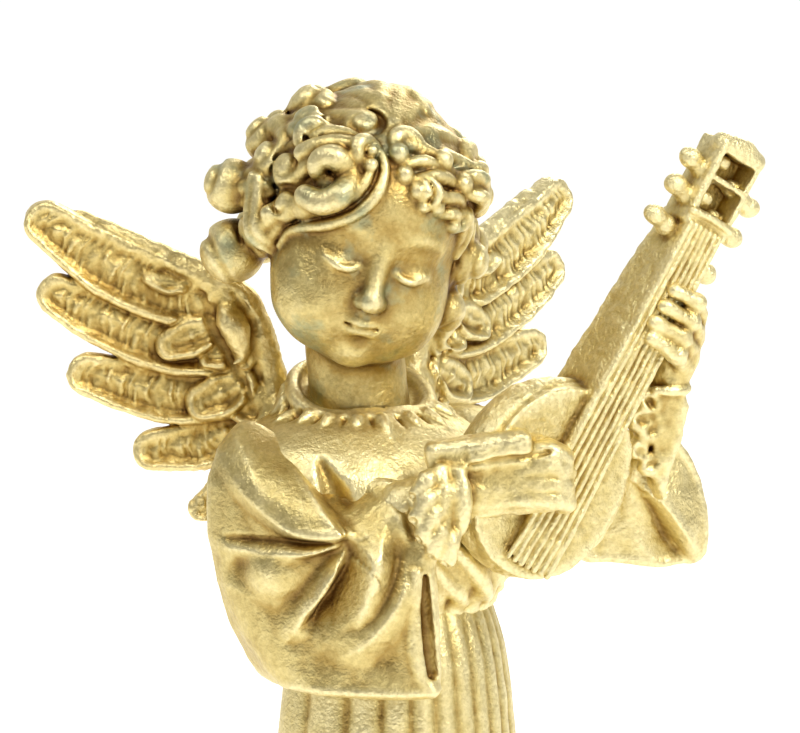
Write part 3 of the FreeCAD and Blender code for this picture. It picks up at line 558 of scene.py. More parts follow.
def make_right_sleeve():
    """The hanging bell sleeve, with folds that fan out from the bend of the elbow."""
    clay = Clay("right_sleeve", (-9, -20, -20), (12.5, 9, 10.5))
    x, y, z = clay.axes()
    u, v = clay.plane()
    relief = folded(clay, SLEEVE_RIDGES, SLEEVE_VALLEYS)
    for spot in ((0.2, -14.6, 1.8, 0.35), (4.6, -14.2, 1.6, 0.3)):
        relief = relief - dent(u, v, *spot)
    relief = 1.5 * relief + 0.5 * np.exp(-((v + 17.6) / 0.6) ** 2)
    above = v + 3.4 - 0.36 * np.clip(u - KNOT[0], 0, 9)
    chest = np.clip((u + 5.0) / 7.5, 0, 1) * np.clip(above / 0.9, 0, 1) * (0.3 + 1.0 * np.clip(above, 0, 9))
    relief = relief - chest - dent(u, v, -0.4, 0.9, 2.8, 1.4) + fold_line(u, v, *SLEEVE_CREST)
    lean = np.clip((9 - x) / 16.6, 0, 1.2)
    front = -16 + 12.3 * lean ** 1.7 - relief[:, None, :] + 0.13 * np.clip(z + 1, 0, 12) ** 2
    back = -12.6 + 9.5 * np.clip((7.5 - x) / 12, 0, 1) ** 0.8 + 6.0 * np.clip((3 - x) / 9, 0, 1)
    edge = outline_distance(SLEEVE_OUTLINE, x - 0.4 * np.clip(y + 2, 0, 8), z)
    plate = soft_max((front - y) * 0.8, (y - back) * 0.86, 1.2)
    clay.mould(soft_max(plate, edge, 1.8), 0.0)
    clay.press(rod((-2, -7.0, -7), (7.4, -12.8, -2.4), 3.4, 2.8), 1.0)
    for deep in (-0.5, 0.3):
        slot = [(7.7, -15.9 + deep, -7.2), (8.0, -15.9 + deep, -11.0), (8.5, -15.9 + deep, -15.6)]
        clay.groove(slot, (0.4, 0.58, 0.6), 0.25)
    clay.ridge(clay.front([(6.9, -6.6), (6.8, -11.6), (7.4, -15.6), (8.5, -17.2)], 0.2), 0.5, 0.4)
    clay.groove(clay.front([(5.6, 0.4), (6.2, -1.2), (6.8, -3.4)], -0.1), (0.3, 0.6, 0.4), 0.5)
    clay.weather(2.2, 0.07, 3)
    clay.weather(0.7, 0.03, 31)
    return clay.cast(place(centre_of("right_shoulder_dowel")))


# -------- left sleeve

BELL_OUTLINE = [
    (13.6, 0.4), (12.0, -2.4), (9.8, -6.4), (9.4, -7.8), (10.6, -8.5), (13.0, -8.6), (16.8, -9.1),
    (20.6, -9.0), (21.6, -8.2), (21.8, -6.4), (21.6, -3.8), (20.7, -1.2), (19.2, 1.6), (17.9, 3.0),
    (16.4, 2.0),
]
# folds in the same form as the right sleeve's
BELL_RIDGES = [
    (((15.0, -2.0), (16.2, -3.0), (18.6, -6.0), (20.6, -8.4)), (1.5, 1.7, 1.5, 0.6), 4.2, 0.7),
]
BELL_VALLEYS = [
    (((14.8, -2.8), (15.8, -4.0), (18.0, -7.0), (19.6, -8.8)), (1.0, 1.3, 1.0, 0.4), 0.7, 2.2),
    (((13.2, -1.2), (14.0, -4.4), (13.6, -7.8)), (0.6, 0.5, 0.1), 1.2, 1.6),
]


def make_left_sleeve():
    """The raised left arm: an upper arm behind the lute and a pointed bell that hangs from the forearm."""
    wrist = centre_of("left_wrist_dowel") - centre_of("left_shoulder_dowel")
    clay = Clay("left_sleeve", (-1, -17, -14), (27, 8, 12))
    clay.press(rod((1.5, 0.2, 0.4), (8.6, -2.2, -2.4), 5.0, 4.2))
    clay.press(rod((8.6, -2.2, -2.4), (15.0, -5.6, -4.6), 4.2, 3.4), 0.8)
    clay.press(rod((15.2, -6.4, -4.6), wrist - Vector((0.6, -1.2, 1.6)), 3.2, 1.7), 0.8)
    x, y, z = clay.axes()
    edge = outline_distance(BELL_OUTLINE, x, z)
    relief = folded(clay, BELL_RIDGES, BELL_VALLEYS)
    relief = relief + 0.45 * np.clip(1 + edge[:, 0, :] / 0.9, 0, 1)
    bulge = 1.8 * np.clip(1 - ((x - 18.0) / 6.5) ** 2, 0, 1)
    face = -8.4 - bulge - 0.10 * (z + 4) - relief[:, None, :]
    plate = soft_max((face - y) * 0.85, (y + 3.6 + 0.4 * (x - 16)) * 0.85, 1.0)
    clay.mould(soft_max(plate, edge, 1.0), 0.6)
    clay.weather(2.0, 0.07, 4)
    clay.weather(0.7, 0.035, 41)
    return clay.cast(place(centre_of("left_shoulder_dowel")))


# -------- hands

# the ways the forearms point
RIGHT_AIM = Vector((0.935, -0.35, 0.07))
LEFT_AIM = Vector((0.05, -0.47, 0.88))


def make_right_hand():
    """The strumming hand: a broad back, fingers curled down to the strings and a thick thumb above."""
    where = place(centre_of("right_wrist_dowel"), (0, 0, 1), Vector((RIGHT_AIM.y, -RIGHT_AIM.x, 0)))
    where = where @ Matrix.Translation((-0.7, 0, 0.8))
    clay = Clay("right_hand", (-5, -5.5, -6.5), (14, 6, 9))
    rise = Matrix.Translation((0, 0, 0.6)) @ Matrix.Rotation(math.radians(-5), 4, "Y")
    clay.press(rod((-2.0, 0.9, 0.0), (3.4, 0.4, 1.2), 2.5, 2.2))
    clay.press(slab((2.6, -1.6, -1.3), (11.9, 1.9, 4.5), 1.15, rise), 0.6)
    clay.press(slab((2.2, -0.9, -1.7), (10.6, 1.6, 1.0), 0.5, rise), 0.5)
    for k in range(4):
        top = 5.3 - 1.38 * k
        clay.ridge([(8.4, -0.75, top - 0.25), (11.1, -0.75, top - 0.35), (12.1, 0.5, top - 0.9),
                    (11.7, 1.9, top - 1.4)], (0.6, 0.8, 0.76, 0.6), 0.7)
        if k < 3:
            clay.groove([(8.6, -1.85, top - 0.85), (10.6, -1.75, top - 0.95), (12.6, -0.4, top - 1.4)],
                        (0.04, 0.1, 0.14), 0.4)
    lift = Matrix.Translation((0.2, 0, 4.3)) @ Matrix.Rotation(math.radians(-9), 4, "Y")
    clay.press(slab((-0.4, -2.0, -1.4), (8.6, 0.8, 1.7), 0.8, lift), 0.5)
    clay.press(slab((3.2, -2.35, -0.6), (8.9, 0.4, 1.3), 0.55, lift), 0.35)
    clay.press(rod((7.6, 0.4, 4.6), (11.0, 0.6, 4.6), 1.2, 1.0), 0.6)
    clay.groove([(2.8, -2.0, 4.1), (5.6, -2.2, 4.5), (8.6, -1.9, 4.9), (10.4, -1.4, 5.2)],
                (0.15, 0.3, 0.32, 0.25), 0.3)
    folds = (
        ((2.6, -2.2, 3.6), (2.9, -2.75, 1.6), (2.7, -2.5, -0.6), (2.2, -1.4, -2.2)),
        ((1.0, -2.3, 3.9), (1.3, -3.0, 2.0), (1.2, -2.9, -0.2), (1.0, -1.8, -2.6)),
    )
    for fold in folds:
        clay.ridge(fold, (0.6, 0.8, 0.8, 0.6), 0.7)
    petals = (
        ((1.0, -2.2, 3.4), (-0.2, -3.0, 3.0), (-1.2, -3.2, 1.9)),
        ((1.0, -2.7, 2.2), (-0.2, -3.5, 1.4), (-1.2, -3.7, -0.1)),
        ((1.1, -2.9, 1.0), (0.1, -3.7, -0.2), (-0.7, -3.7, -1.7)),
        ((1.4, -2.8, -0.3), (0.8, -3.5, -1.7), (0.3, -3.4, -3.2)),
        ((2.0, -2.4, -1.2), (1.8, -3.0, -2.5), (1.6, -2.9, -3.9)),
    )
    for petal in petals:
        clay.ridge(petal, (0.6, 0.9, 0.7), 0.4)
        tip = np.array(petal[-1]) + (-0.3, -0.35, -0.35)
        clay.carve(ball(tip, 0.36), 0.35)
    clay.weather(1.2, 0.12, 61)
    clay.weather(0.6, 0.05, 6)
    return clay.cast(where)


def make_left_hand():
    """The fretting hand: four stacked fingers reach round the lute's neck, with a curled cuff below."""
    where = place(centre_of("left_wrist_dowel"))
    clay = Clay("left_hand", (-6, -9.5, -7), (8, 5, 18))
    along = np.array(LEFT_AIM.normalized())
    clay.press(rod(-along * 1.0, along * 7.0, 2.0, 1.7))
    clay.press(egg((0.9, -3.9, 8.4), (1.8, 2.2, 3.6), (4, 12, 0)), 0.8)
    clay.press(egg((1.8, -4.2, 10.6), (1.6, 1.7, 2.6), (4, 12, 0)), 0.6)
    tips = ((-0.7, -6.9, 14.7), (-1.6, -6.9, 13.3), (-2.6, -6.9, 11.9), (-2.9, -6.8, 10.6))
    knuckles = ((2.5, -5.0, 12.0), (2.3, -5.0, 10.2), (1.8, -5.0, 8.6), (1.1, -4.9, 7.3))
    for tip, knuckle in zip(np.array(tips), np.array(knuckles)):
        bend = (tip + knuckle) / 2 + (0.35, -0.75, 0.2)
        base = knuckle + (-0.5, 1.0, -0.9)
        clay.ridge([base, knuckle, bend, tip], (0.8, 0.86, 0.82, 0.66), 0.3)
        clay.press(ball(bend + (0.3, -0.1, -0.1), 0.9), 0.35)
    clay.ridge([(-0.6, -2.0, 6.0), (-1.6, -1.2, 8.2), (-1.4, -1.0, 10.2)], (1.1, 1.0, 0.8), 0.4)
    cuff = ((-1.7, 5.8), (1.5, 5.6), (1.9, 4.0), (1.6, 1.2), (0.6, -2.4), (0.1, -4.6), (-0.7, -3.4),
            (-1.4, -0.6))
    x, y, z = clay.axes()
    edge = outline_distance(cuff, x, z)
    front = -5.3 + 0.16 * (5.8 - z) + 0.10 * (x - 0.4) ** 2
    clay.mould(soft_max(soft_max((front - y) * 0.95, y - front - 2.6, 0.5), edge, 0.7), 0.4)
    rng = np.random.default_rng(17)
    curls = ((-1.8, 4.6), (-2.6, 2.8), (-1.6, 1.7), (-2.5, 0.2), (-1.4, -1.2))
    for x_at, z_at in curls:
        spot = np.array((x_at, -4.0 + 0.12 * (5 - z_at), z_at))
        clay.press(ball(spot, rng.uniform(1.0, 1.3)), 0.5)
        hollow = spot + rng.uniform(-0.3, 0.3, 3) + (0, -1.2, 0)
        clay.carve(egg(hollow, (0.45, 0.7, 0.75), (0, rng.uniform(-60, 60), 0)), 0.5)
    clay.ridge([(1.5, -4.9, 5.6), (0.2, -5.3, 5.5), (-1.4, -4.8, 5.6)], 0.5, 0.25)
    clay.weather(1.2, 0.12, 71)
    clay.weather(0.6, 0.06, 7)
    return clay.cast(where)


# -------- wings

WING_SWEEP = math.radians(26)
# each feather: its spine from root to tip, outwards and up from the wing's dowel, and its half widths
PRIMARIES = [
    (((3.6, -3.0), (5.8, -5.4), (8.2, -7.6)), (1.1, 1.6, 1.3)),
    (((4.0, 0.6), (7.8, -1.4), (12.6, -2.2)), (1.7, 2.4, 1.9)),
    (((4.6, 3.4), (10.6, 3.0), (15.4, 4.0), (18.5, 4.8)), (2.3, 2.8, 2.5, 2.0)),
    (((5.0, 7.2), (10.8, 7.7), (16.6, 9.9), (21.2, 12.0)), (2.3, 2.8, 2.8, 2.0)),
    (((5.6, 11.2), (11.0, 12.4), (16.6, 14.9), (22.2, 18.6)), (2.3, 2.9, 2.9, 2.1)),
]
COVERTS = [
    (((2.6, 1.2), (4.0, 1.6), (5.4, 2.3)), (0.9, 1.2, 1.0)),
    (((4.2, 4.2), (6.0, 3.2), (7.8, 2.4)), (1.4, 2.1, 1.8)),
    (((4.6, 7.0), (6.0, 6.8), (7.2, 6.6)), (1.1, 1.4, 1.2)),
    (((6.8, 9.0), (8.8, 8.4), (10.8, 7.6)), (1.2, 1.9, 1.5)),
    (((9.8, 13.0), (11.2, 13.2), (12.8, 13.8)), (0.7, 1.0, 0.7)),
]
WING_WEB = [
    (1.0, -2.0), (1.4, 4.0), (3.2, 9.3), (4.8, 12.2), (7.2, 13.7), (13.1, 16.5), (19.0, 18.6), (20.8, 14.6),
    (17.6, 11.0), (16.9, 7.5), (13.8, 4.2), (10.8, 0.8), (7.0, -2.4), (4.6, -4.4),
]
WING_EDGE = [
    (1.0, -2.4), (1.2, 2.0), (2.2, 6.4), (4.0, 10.4), (6.2, 12.9), (9.6, 14.8), (14.0, 16.9), (19.0, 19.2),
]

WING_GROOVES = [
    (((8.0, 12.4), (7.2, 9.6), (5.6, 6.8), (4.2, 4.4), (2.8, 1.6)), (0.3, 0.5, 0.5, 0.45, 0.3)),
    (((5.0, 12.6), (3.2, 10.2), (3.0, 7.6), (2.6, 4.6)), (0.2, 0.4, 0.4, 0.2)),
]


def feather_relief(u, v, spine, widths, barbs):
    """One feather on the wing's plane: distance to its outline and the height of its face."""
    chain = smooth(np.column_stack([spine, widths]), 14)
    best = np.full(np.broadcast(u, v).shape, 1e3, dtype=np.float32)
    across = np.zeros_like(best)
    along = np.zeros_like(best)
    run = np.concatenate([[0], np.cumsum(np.hypot(*np.diff(chain[:, :2], axis=0).T))])
    ways = np.gradient(chain[:, :2], axis=0)
    for (cx, cy, r), (wx, wy), s in zip(chain, ways, run):
        gap = np.hypot(u - cx, v - cy)
        closer = gap - r < best
        stride = math.hypot(wx, wy)
        side = ((u - cx) * -wy + (v - cy) * wx) / (stride * r)
        lead = ((u - cx) * wx + (v - cy) * wy) / stride
        best = np.where(closer, gap - r, best)
        across = np.where(closer, side, across)
        along = np.where(closer, s + lead, along)
    lower = np.clip(0.5 - 0.9 * across, 0.15, 1)
    rim = np.exp(-((-best - 0.5) / 0.5) ** 2) * lower
    scoop = np.clip((-best - 0.75) / 0.7, 0, 1)
    mound = np.clip(1 - abs(across - 0.1) / 0.8, 0, 1) * scoop
    wander = 1.5 * np.sin(1.3 * along + 2.1 * across) + 1.1 * np.sin(3.1 * along - 2.2 * across)
    lumps = np.sin(2.1 * along + 1.1) * np.cos(4.6 * across + 0.9 * along)
    waves = np.sin(barbs * (along + 0.9 * abs(across)) + wander) * (0.6 + 0.4 * lumps)
    height = 0.6 * rim - 0.5 * scoop + 0.5 * mound + scoop * (0.13 * waves + 0.12 * lumps)
    return best, height


def leaf_relief(u, v, spine, widths):
    """A small covert feather: a raised leaf whose lower edge stands proud, with a few deep wrinkles."""
    gap, wrinkled = feather_relief(u, v, spine, widths, 3.2)
    return gap, 0.35 * np.clip(-gap / 0.5, 0, 1) + 1.15 * wrinkled


def make_wing(name, side, seed):
    """Overlapping feathers, each a raised rim round a scooped and wrinkled face, on a knuckled arm."""
    pin_low, pin_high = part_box(name + "_dowel")
    pin_end = (pin_high[1] - pin_low[1]) / 2 / MM
    clay = Clay(name, (-3.2, -4.6, -8.5), (25.5, max(5.2, pin_end + 2.0), 23.5))
    u, v = clay.plane()
    face = np.full(np.broadcast(u, v).shape, 0.5, dtype=np.float32)
    outline = np.full(face.shape, FAR, dtype=np.float32)
    for level, (spine, widths) in enumerate(PRIMARIES + COVERTS):
        if level < len(PRIMARIES):
            step = 0.13 * level
            gap, height = feather_relief(u, v, spine, widths, 6.2 + 0.3 * level)
        else:
            step = 0.5
            gap, height = leaf_relief(u, v, spine, widths)
        inside = np.clip(0.5 - gap / 0.25, 0, 1)
        face = face * (1 - inside) + (0.7 + step + height) * inside
        outline = np.minimum(outline, gap)
    outline = soft_min(outline, outline_distance(WING_WEB, u, v) + 0.2, 0.4)
    x, y, _ = clay.axes()
    face, outline = face[:, None, :], outline[:, None, :]
    cup = 1.4 * np.clip(x / 24, 0, 1) ** 2 + 0.9 * np.sin(np.pi * np.clip(x / 20, 0, 1)) - 0.6
    thick = abs(y - cup - 0.35) - face * 0.92
    clay.mould(soft_max(thick * 0.9, outline, 0.5), 0.0)
    edge = [(a, 0.3 + 1.4 * (a / 24) ** 2, b) for a, b in WING_EDGE]
    clay.ridge(edge, (1.5, 1.5, 1.5, 1.8, 1.6, 1.1, 0.8, 0.5), 0.7)
    clay.press(egg((4.7, -0.9, 9.2), (1.5, 1.7, 2.7), (0, 30, 0)), 0.5)
    for line, radii in WING_GROOVES:
        clay.groove(clay.front(line, -0.1), radii, 0.4)
    clay.press(rod((0.0, -0.6, 0.0), (2.2, 0.3, 2.8), 2.4, 1.8), 0.8)
    clay.press(rod((0.0, -0.6, 0.0), (3.0, 0.4, -1.2), 2.2, 1.4), 0.8)
    clay.press(egg((0.0, pin_end - 0.9, 0.0), (1.9, 1.6, 1.9)), 0.7)
    clay.weather(0.55, 0.08, seed)
    clay.weather(1.3, 0.12, seed + 50)
    root = centre_of(name + "_dowel")
    turn = Matrix.Rotation(side * WING_SWEEP, 4, "Z")
    mirror = Matrix.Scale(side, 4, (1, 0, 0))
    return clay.cast(Matrix.Translation(root) @ turn @ mirror)


# -------- lute

LUTE_AIM = Vector((0.487, -0.024, 0.873))
LUTE_FACE = Vector((0.14, -0.98, -0.1))
LUTE_FROM_DOWEL = Vector((4.9, -5.8, 1.5))
NUT_AT = 25.6
PEGBOX_TOP = 33.6
# the soundboard: level along the lute and half width
LUTE_HALF_WIDTHS = [
    (-9.2, 0.0), (-8.9, 2.1), (-8.1, 3.9), (-6.8, 5.5), (-4.8, 6.7), (-2.2, 7.3), (0.4, 7.4), (3.0, 7.0),
    (5.2, 6.0), (6.7, 4.6), (7.6, 3.2), (8.1, 1.8), (8.3, 0.0),
]


def make_lute():
    """A round-backed lute: ribbed bowl, soundboard, thick tapering neck, strings, pierced pegbox and pegs."""
    clay = Clay("lute", (-10.5, -3.4, -11.5), (9.5, 9.5, 36))
    x, y, z = clay.axes()
    low_end, top_end = LUTE_HALF_WIDTHS[0][0], LUTE_HALF_WIDTHS[-1][0]
    middle, radius = (low_end + top_end) / 2, (top_end - low_end) / 2 + 0.1
    off = x + 0.7
    reach = np.hypot(off * 1.07, z - middle)
    behind = np.where(y > 2.4, (y - 2.4) / 5.6, (2.4 - y) / 5.0)
    round_back = np.sqrt((reach / (radius + 0.25)) ** 2 + behind ** 2)
    ribs = 0.10 * abs(np.cos(5 * np.arctan2(y - 2.4, off)))
    bowl = (round_back - 1) * 7.0 - ribs
    rows = smooth(LUTE_HALF_WIDTHS, 6)
    rim = [(h - 0.7, lv) for lv, h in rows] + [(-h - 0.7, lv) for lv, h in rows[::-1]]
    board_edge = outline_distance(rim, x, z)
    board = soft_max(board_edge, -0.12 * np.clip(1 - (off / 7) ** 2, 0, 1) - y, 0.25)
    clay.mould(soft_max(bowl, 0.55 - y, 0.45), 0.0)
    clay.mould(soft_max(board, y - 2.0, 0.2), 0.12)
    taper = np.clip((z - 5) / (NUT_AT - 5), 0, 1)
    neck_half = 2.6 - 0.6 * taper
    neck_deep = 6.2 - 2.2 * taper
    neck = soft_max(abs(x - 0.4) - neck_half, abs(y - neck_deep / 2 + 0.2) - neck_deep / 2, 0.7)
    clay.mould(soft_max(neck, soft_max(4 - z, z - NUT_AT - 0.6, 0.2), 0.5), 0.3)
    clay.weather(0.5, 0.05, 81)
    clay.weather(1.4, 0.06, 82)
    fade = np.clip((z + 8.2) / 3, 0, 1)
    band = soft_max(abs(x - 0.45) - (2.5 - 0.5 * taper), abs(y + 0.4) - 0.55 * fade, 0.25)
    clay.mould(soft_max(band, soft_max(-7.8 - z, z - NUT_AT, 0.2), 0.4), 0.25)
    press_strings(clay)
    make_pegbox(clay)
    clay.weather(0.9, 0.07, 83)
    origin = centre_of("lute_dowel") + LUTE_FROM_DOWEL
    return clay.cast(place(origin, LUTE_AIM, LUTE_FACE))


def press_strings(clay):
    """Seven strings cast as ridges, slightly uneven, that run from the soundboard to the nut."""
    count = 7
    rng = np.random.default_rng(8)
    for k in range(count):
        spread = 2 * k / (count - 1) - 1
        low_x, high_x = 0.45 + 2.35 * spread, 0.5 + 1.75 * spread
        line = []
        for t in np.linspace(0, 1, 12):
            sway = 0.05 * rng.uniform(-1, 1)
            level = -7.9 + (NUT_AT + 7.7) * t
            line.append((low_x + (high_x - low_x) * t + sway, -0.98 + 0.5 * max(0.0, 0.12 - t) * 8, level))
        clay.ridge(line, 0.27, 0.08, 3)
        if k:
            gap = 2.35 / (count - 1)
            groove = [(px - gap * (1 - 0.25 * t), -1.32, pz)
                      for (px, _, pz), t in zip(line[2:], np.linspace(0.1, 1, 10))]
            clay.groove(groove, 0.17, 0.08, 3)


def make_pegbox(clay):
    """The open box above the nut: two rails, cross bars over two windows, and three pegs on each side."""
    middle = (NUT_AT + PEGBOX_TOP) / 2 + 0.3
    clay.press(slab((-1.9, -0.9, NUT_AT - 0.4), (3.1, 2.9, PEGBOX_TOP - 0.2), 0.35), 0.25)
    cap = ((-1.4, 0.2, PEGBOX_TOP - 0.6), (0.7, 0.0, PEGBOX_TOP - 0.2), (2.7, 0.2, PEGBOX_TOP - 0.6))
    clay.ridge(cap, 0.95, 0.3)
    for low, high in ((NUT_AT + 1.3, middle - 0.22), (middle + 0.22, PEGBOX_TOP - 1.3)):
        clay.carve(slab((-1.25, -2.4, low), (2.45, 1.8, high), 0.2), 0.12)
    for level in (NUT_AT + 2.4, middle + 1.7):
        clay.press(slab((-0.7, 0.1, level - 0.6), (0.6, 2.3, level + 0.6), 0.45), 0.2)
    nut = ((-1.7, -0.95, NUT_AT + 0.8), (0.6, -1.05, NUT_AT + 1.0), (2.9, -0.95, NUT_AT + 0.8))
    clay.ridge(nut, 0.35, 0.2)
    for side, foot, levels in ((-1, -1.5, (24.3, 27.5, 30.2)), (1, 3.1, (22.7, 26.6, 29.7))):
        rise = -0.3 * side
        for level in levels:
            x0 = foot - 0.016 * (30 - level) ** 2
            shank = (x0 - side, 1.0, level - rise), (x0 + side * 1.5, 1.0, level + rise)
            clay.press(rod(*shank, 0.75, 0.75), 0.3)
            clay.press(egg((x0 + side * 0.3, 0.9, level), (0.9, 0.95, 0.95)), 0.3)
            clay.press(egg((x0 + side * 1.7, 0.9, level + rise), (1.15, 0.95, 0.95)), 0.3)


# -------- head

HEAD_FROM_NECK = Vector((-0.3, -1.9, 15.2))
HEAD_TURN = math.radians(-12)       # to its right
HEAD_NOD = math.radians(12)
HEAD_LEAN = math.radians(14)        # to its left
SKULL = np.array((0.0, 1.2, 1.5))


def bearing(azimuth, elevation):
    """A direction from the middle of the skull: azimuth from the parting towards its left, in degrees."""
    a, e = math.radians(azimuth), math.radians(elevation)
    return np.array((math.sin(a) * math.cos(e), -math.cos(a) * math.cos(e), math.sin(e)))


def on_skull(clay, azimuth, elevation, sink=0.0):
    way = bearing(azimuth, elevation)
    return clay.touch(SKULL + way * 15, SKULL + way * 3, sink)


def sides_of(axis):
    """Two directions square to an axis and to each other."""
    guide = np.array((0, 0, 1.0)) if abs(axis[2]) < 0.8 else np.array((0, -1.0, 0))
    one = np.cross(guide, axis)
    one /= np.linalg.norm(one)
    return one, np.cross(axis, one)


def whirl(axis, turn):
    """The direction square to an axis at an angle round it."""
    one, two = sides_of(axis)
    return one * math.cos(turn) + two * math.sin(turn)


def snail(clay, azimuth, elevation, out, radius, spin=1.0, start=0.0, turns=1.1):
    """A ball curl: a round knob with a spiral groove wound towards its middle."""
    axis = bearing(azimuth, elevation)
    centre = SKULL + axis * out
    clay.press(ball(centre, radius), 0.5)
    path = []
    for t in np.linspace(0, 1, 15):
        polar = math.radians(80 - 62 * t)
        turn = start + spin * 2 * math.pi * turns * t
        way = axis * math.cos(polar) + whirl(axis, turn) * math.sin(polar)
        path.append(centre + way * radius * 1.05)
    depths = [(0.03 + 0.14 * math.sin(math.pi * k / 14)) * radius for k in range(15)]
    clay.groove(path, depths, 0.45, 3)


def swirl(clay, azimuth, elevation, size, spin=1.0, start=0.0, turns=1.15, thick=0.42, proud=0.0):
    """A flat curl wound on the hair: one thick strand that turns in on itself."""
    axis = bearing(azimuth, elevation)
    path, widths = [], []
    for t in np.linspace(0, 1, 11):
        reach = size * (1 - 0.82 * t)
        turn = start + spin * 2 * math.pi * turns * t
        way = axis * 10.5 + whirl(axis, turn) * reach
        way /= np.linalg.norm(way)
        path.append(clay.touch(SKULL + way * 15, SKULL + way * 3, 0.1 * size - proud * (0.4 + t)))
        widths.append(size * thick * (0.55 + 0.45 * math.sin(math.pi * min(t + 0.25, 1.0) * 0.9)))
    clay.ridge(path, widths, 0.16, 3)


def tress(clay, bearings, width, strands=3, proud=0.15, blend=0.16):
    """A lock of hair laid along the skull through several bearings, as strands side by side."""
    middle = smooth([on_skull(clay, a, e, -proud) for a, e in bearings], 4)
    ways = np.gradient(middle, axis=0)
    outward = middle - SKULL
    across = np.cross(ways, outward)
    across /= np.linalg.norm(across, axis=1)[:, None]
    lift = outward / np.linalg.norm(outward, axis=1)[:, None]
    t = np.linspace(0, 1, len(middle))
    taper = 0.35 + 0.65 * np.sin(np.pi * np.clip(0.12 + 0.82 * t, 0, 1)) ** 0.7
    for k in range(strands):
        shift = (k - (strands - 1) / 2) / max(strands - 1, 1) * 2
        line = middle + across * (shift * width * 0.62 * taper)[:, None] - lift * (0.25 * width * shift ** 2)
        clay.ridge(line, 0.46 * width * taper * (1.0 if strands > 1 else 1.9), blend, 1)


def make_head():
    """A calm child's face under a thick cap of curls, tilted on its neck."""
    turn = (Matrix.Rotation(HEAD_TURN, 3, "Z") @ Matrix.Rotation(HEAD_NOD, 3, "X")
            @ Matrix.Rotation(HEAD_LEAN, 3, "Y")).to_4x4()
    neck = centre_of("neck_dowel")
    where = Matrix.Translation(neck + HEAD_FROM_NECK) @ turn
    home = where.inverted()
    clay = Clay("head", (-14.6, -12.4, -19.0), (13.8, 14.6, 14.2))
    make_face(clay, home @ (neck + Vector((0, 0, -1.6))))
    make_hair(clay)
    clay.weather(1.3, 0.06, 9)
    return clay.cast(where)


def mirrored(side, *points):
    return [(side * a, b, c) for a, b, c in points]


def make_face(clay, neck_foot):
    """Skull, jaw, neck and cheeks, then the nose, lowered lids, brows, lips and chin."""
    clay.press(egg(SKULL, (9.0, 9.4, 9.2)))
    clay.press(egg((0, -2.2, -2.8), (8.0, 6.9, 7.7)), 1.0)
    clay.press(egg((0, -3.4, 3.2), (6.9, 5.6, 5.6)), 2.0)
    clay.press(rod(neck_foot, (0, 0.6, -5.6), 4.5, 4.2), 1.4)
    clay.press(egg((0, -4.6, -7.2), (5.4, 4.2, 3.8)), 2.0)
    clay.press(ball((0, -7.0, -9.0), 1.7), 1.6)
    for side in (-1, 1):
        clay.press(ball((side * 3.8, -5.2, -5.6), 3.6), 2.4)
        clay.carve(egg((side * 3.3, -10.2, -0.9), (1.9, 1.4, 1.0), (0, side * 6, 0)), 1.2)
        clay.press(egg((side * 3.2, -7.1, -1.35), (1.8, 1.55, 1.25)), 0.6)
    bridge = ((0, -8.6, 0.6), (0, -9.0, -1.2), (0, -9.7, -3.0), (0, -10.0, -3.8))
    clay.ridge(bridge, (0.6, 0.6, 0.75, 0.85), 1.1)
    clay.press(ball((0, -9.8, -3.9), 1.0), 0.5)
    for side in (-1, 1):
        clay.press(ball((side * 0.9, -9.3, -4.15), 0.58), 0.4)
        clay.carve(ball((side * 0.5, -9.7, -4.85), 0.26), 0.25)
        lid = mirrored(side, (1.6, -8.9, -1.7), (2.4, -9.25, -2.05), (3.4, -9.2, -2.1), (4.6, -8.4, -1.6))
        crease = mirrored(side, (1.6, -9.0, -0.8), (2.4, -9.15, -0.2), (3.5, -9.05, -0.15), (4.7, -8.1, -0.7))
        brow = mirrored(side, (1.4, -8.9, 1.5), (2.8, -8.8, 2.1), (4.2, -8.3, 2.0), (5.5, -7.2, 1.2))
        clay.groove(lid, (0.1, 0.22, 0.22, 0.1), 0.3)
        clay.ridge([(a, b + 0.3, c + 0.45) for a, b, c in lid], (0.14, 0.3, 0.3, 0.14), 0.5)
        clay.groove(crease, (0.08, 0.16, 0.16, 0.08), 0.45)
        clay.ridge([(a, b + 0.55, c) for a, b, c in brow], (0.3, 0.45, 0.42, 0.2), 0.7)
    clay.press(egg((0, -8.5, -6.3), (2.0, 1.1, 1.3)), 1.0)
    for side in (-1, 1):
        lip = mirrored(side, (0.25, -9.45, -6.1), (0.9, -9.3, -6.1), (1.7, -8.75, -6.2))
        clay.ridge(lip, (0.34, 0.34, 0.14), 0.35)
    clay.ridge([(-1.2, -9.0, -6.8), (0, -9.35, -7.05), (1.2, -9.0, -6.8)], (0.3, 0.48, 0.3), 0.4)
    mouth = ((-1.8, -8.9, -6.3), (-0.9, -9.6, -6.5), (0, -9.75, -6.6), (0.9, -9.6, -6.5), (1.8, -8.9, -6.3))
    clay.groove(mouth, (0.08, 0.12, 0.15, 0.12, 0.08), 0.25)
    clay.groove([(0, -10.1, -4.95), (0, -9.9, -5.6)], (0.2, 0.25), 0.4)
    clay.carve(ball((0, -9.8, -8.0), 0.7), 1.1)


# locks by their bearings on the skull, in degrees: (azimuth, elevation) from root to tip
CROWN_WAVES = (
    ((-16, 44), (-30, 55), (-58, 58), (-86, 46)),
    ((-14, 52), (-30, 70), (-84, 74), (-124, 56)),
    ((-8, 50), (18, 62), (60, 60), (92, 44)),
    ((-10, 56), (20, 76), (104, 76), (136, 58)),
    ((-20, 40), (-42, 46), (-66, 42), (-90, 30)),
    ((-12, 62), (170, 88), (176, 70), (178, 48)),
    ((60, 76), (140, 80), (160, 60), (164, 40)),
    ((-60, 78), (-140, 78), (-156, 60), (-160, 42)),
)
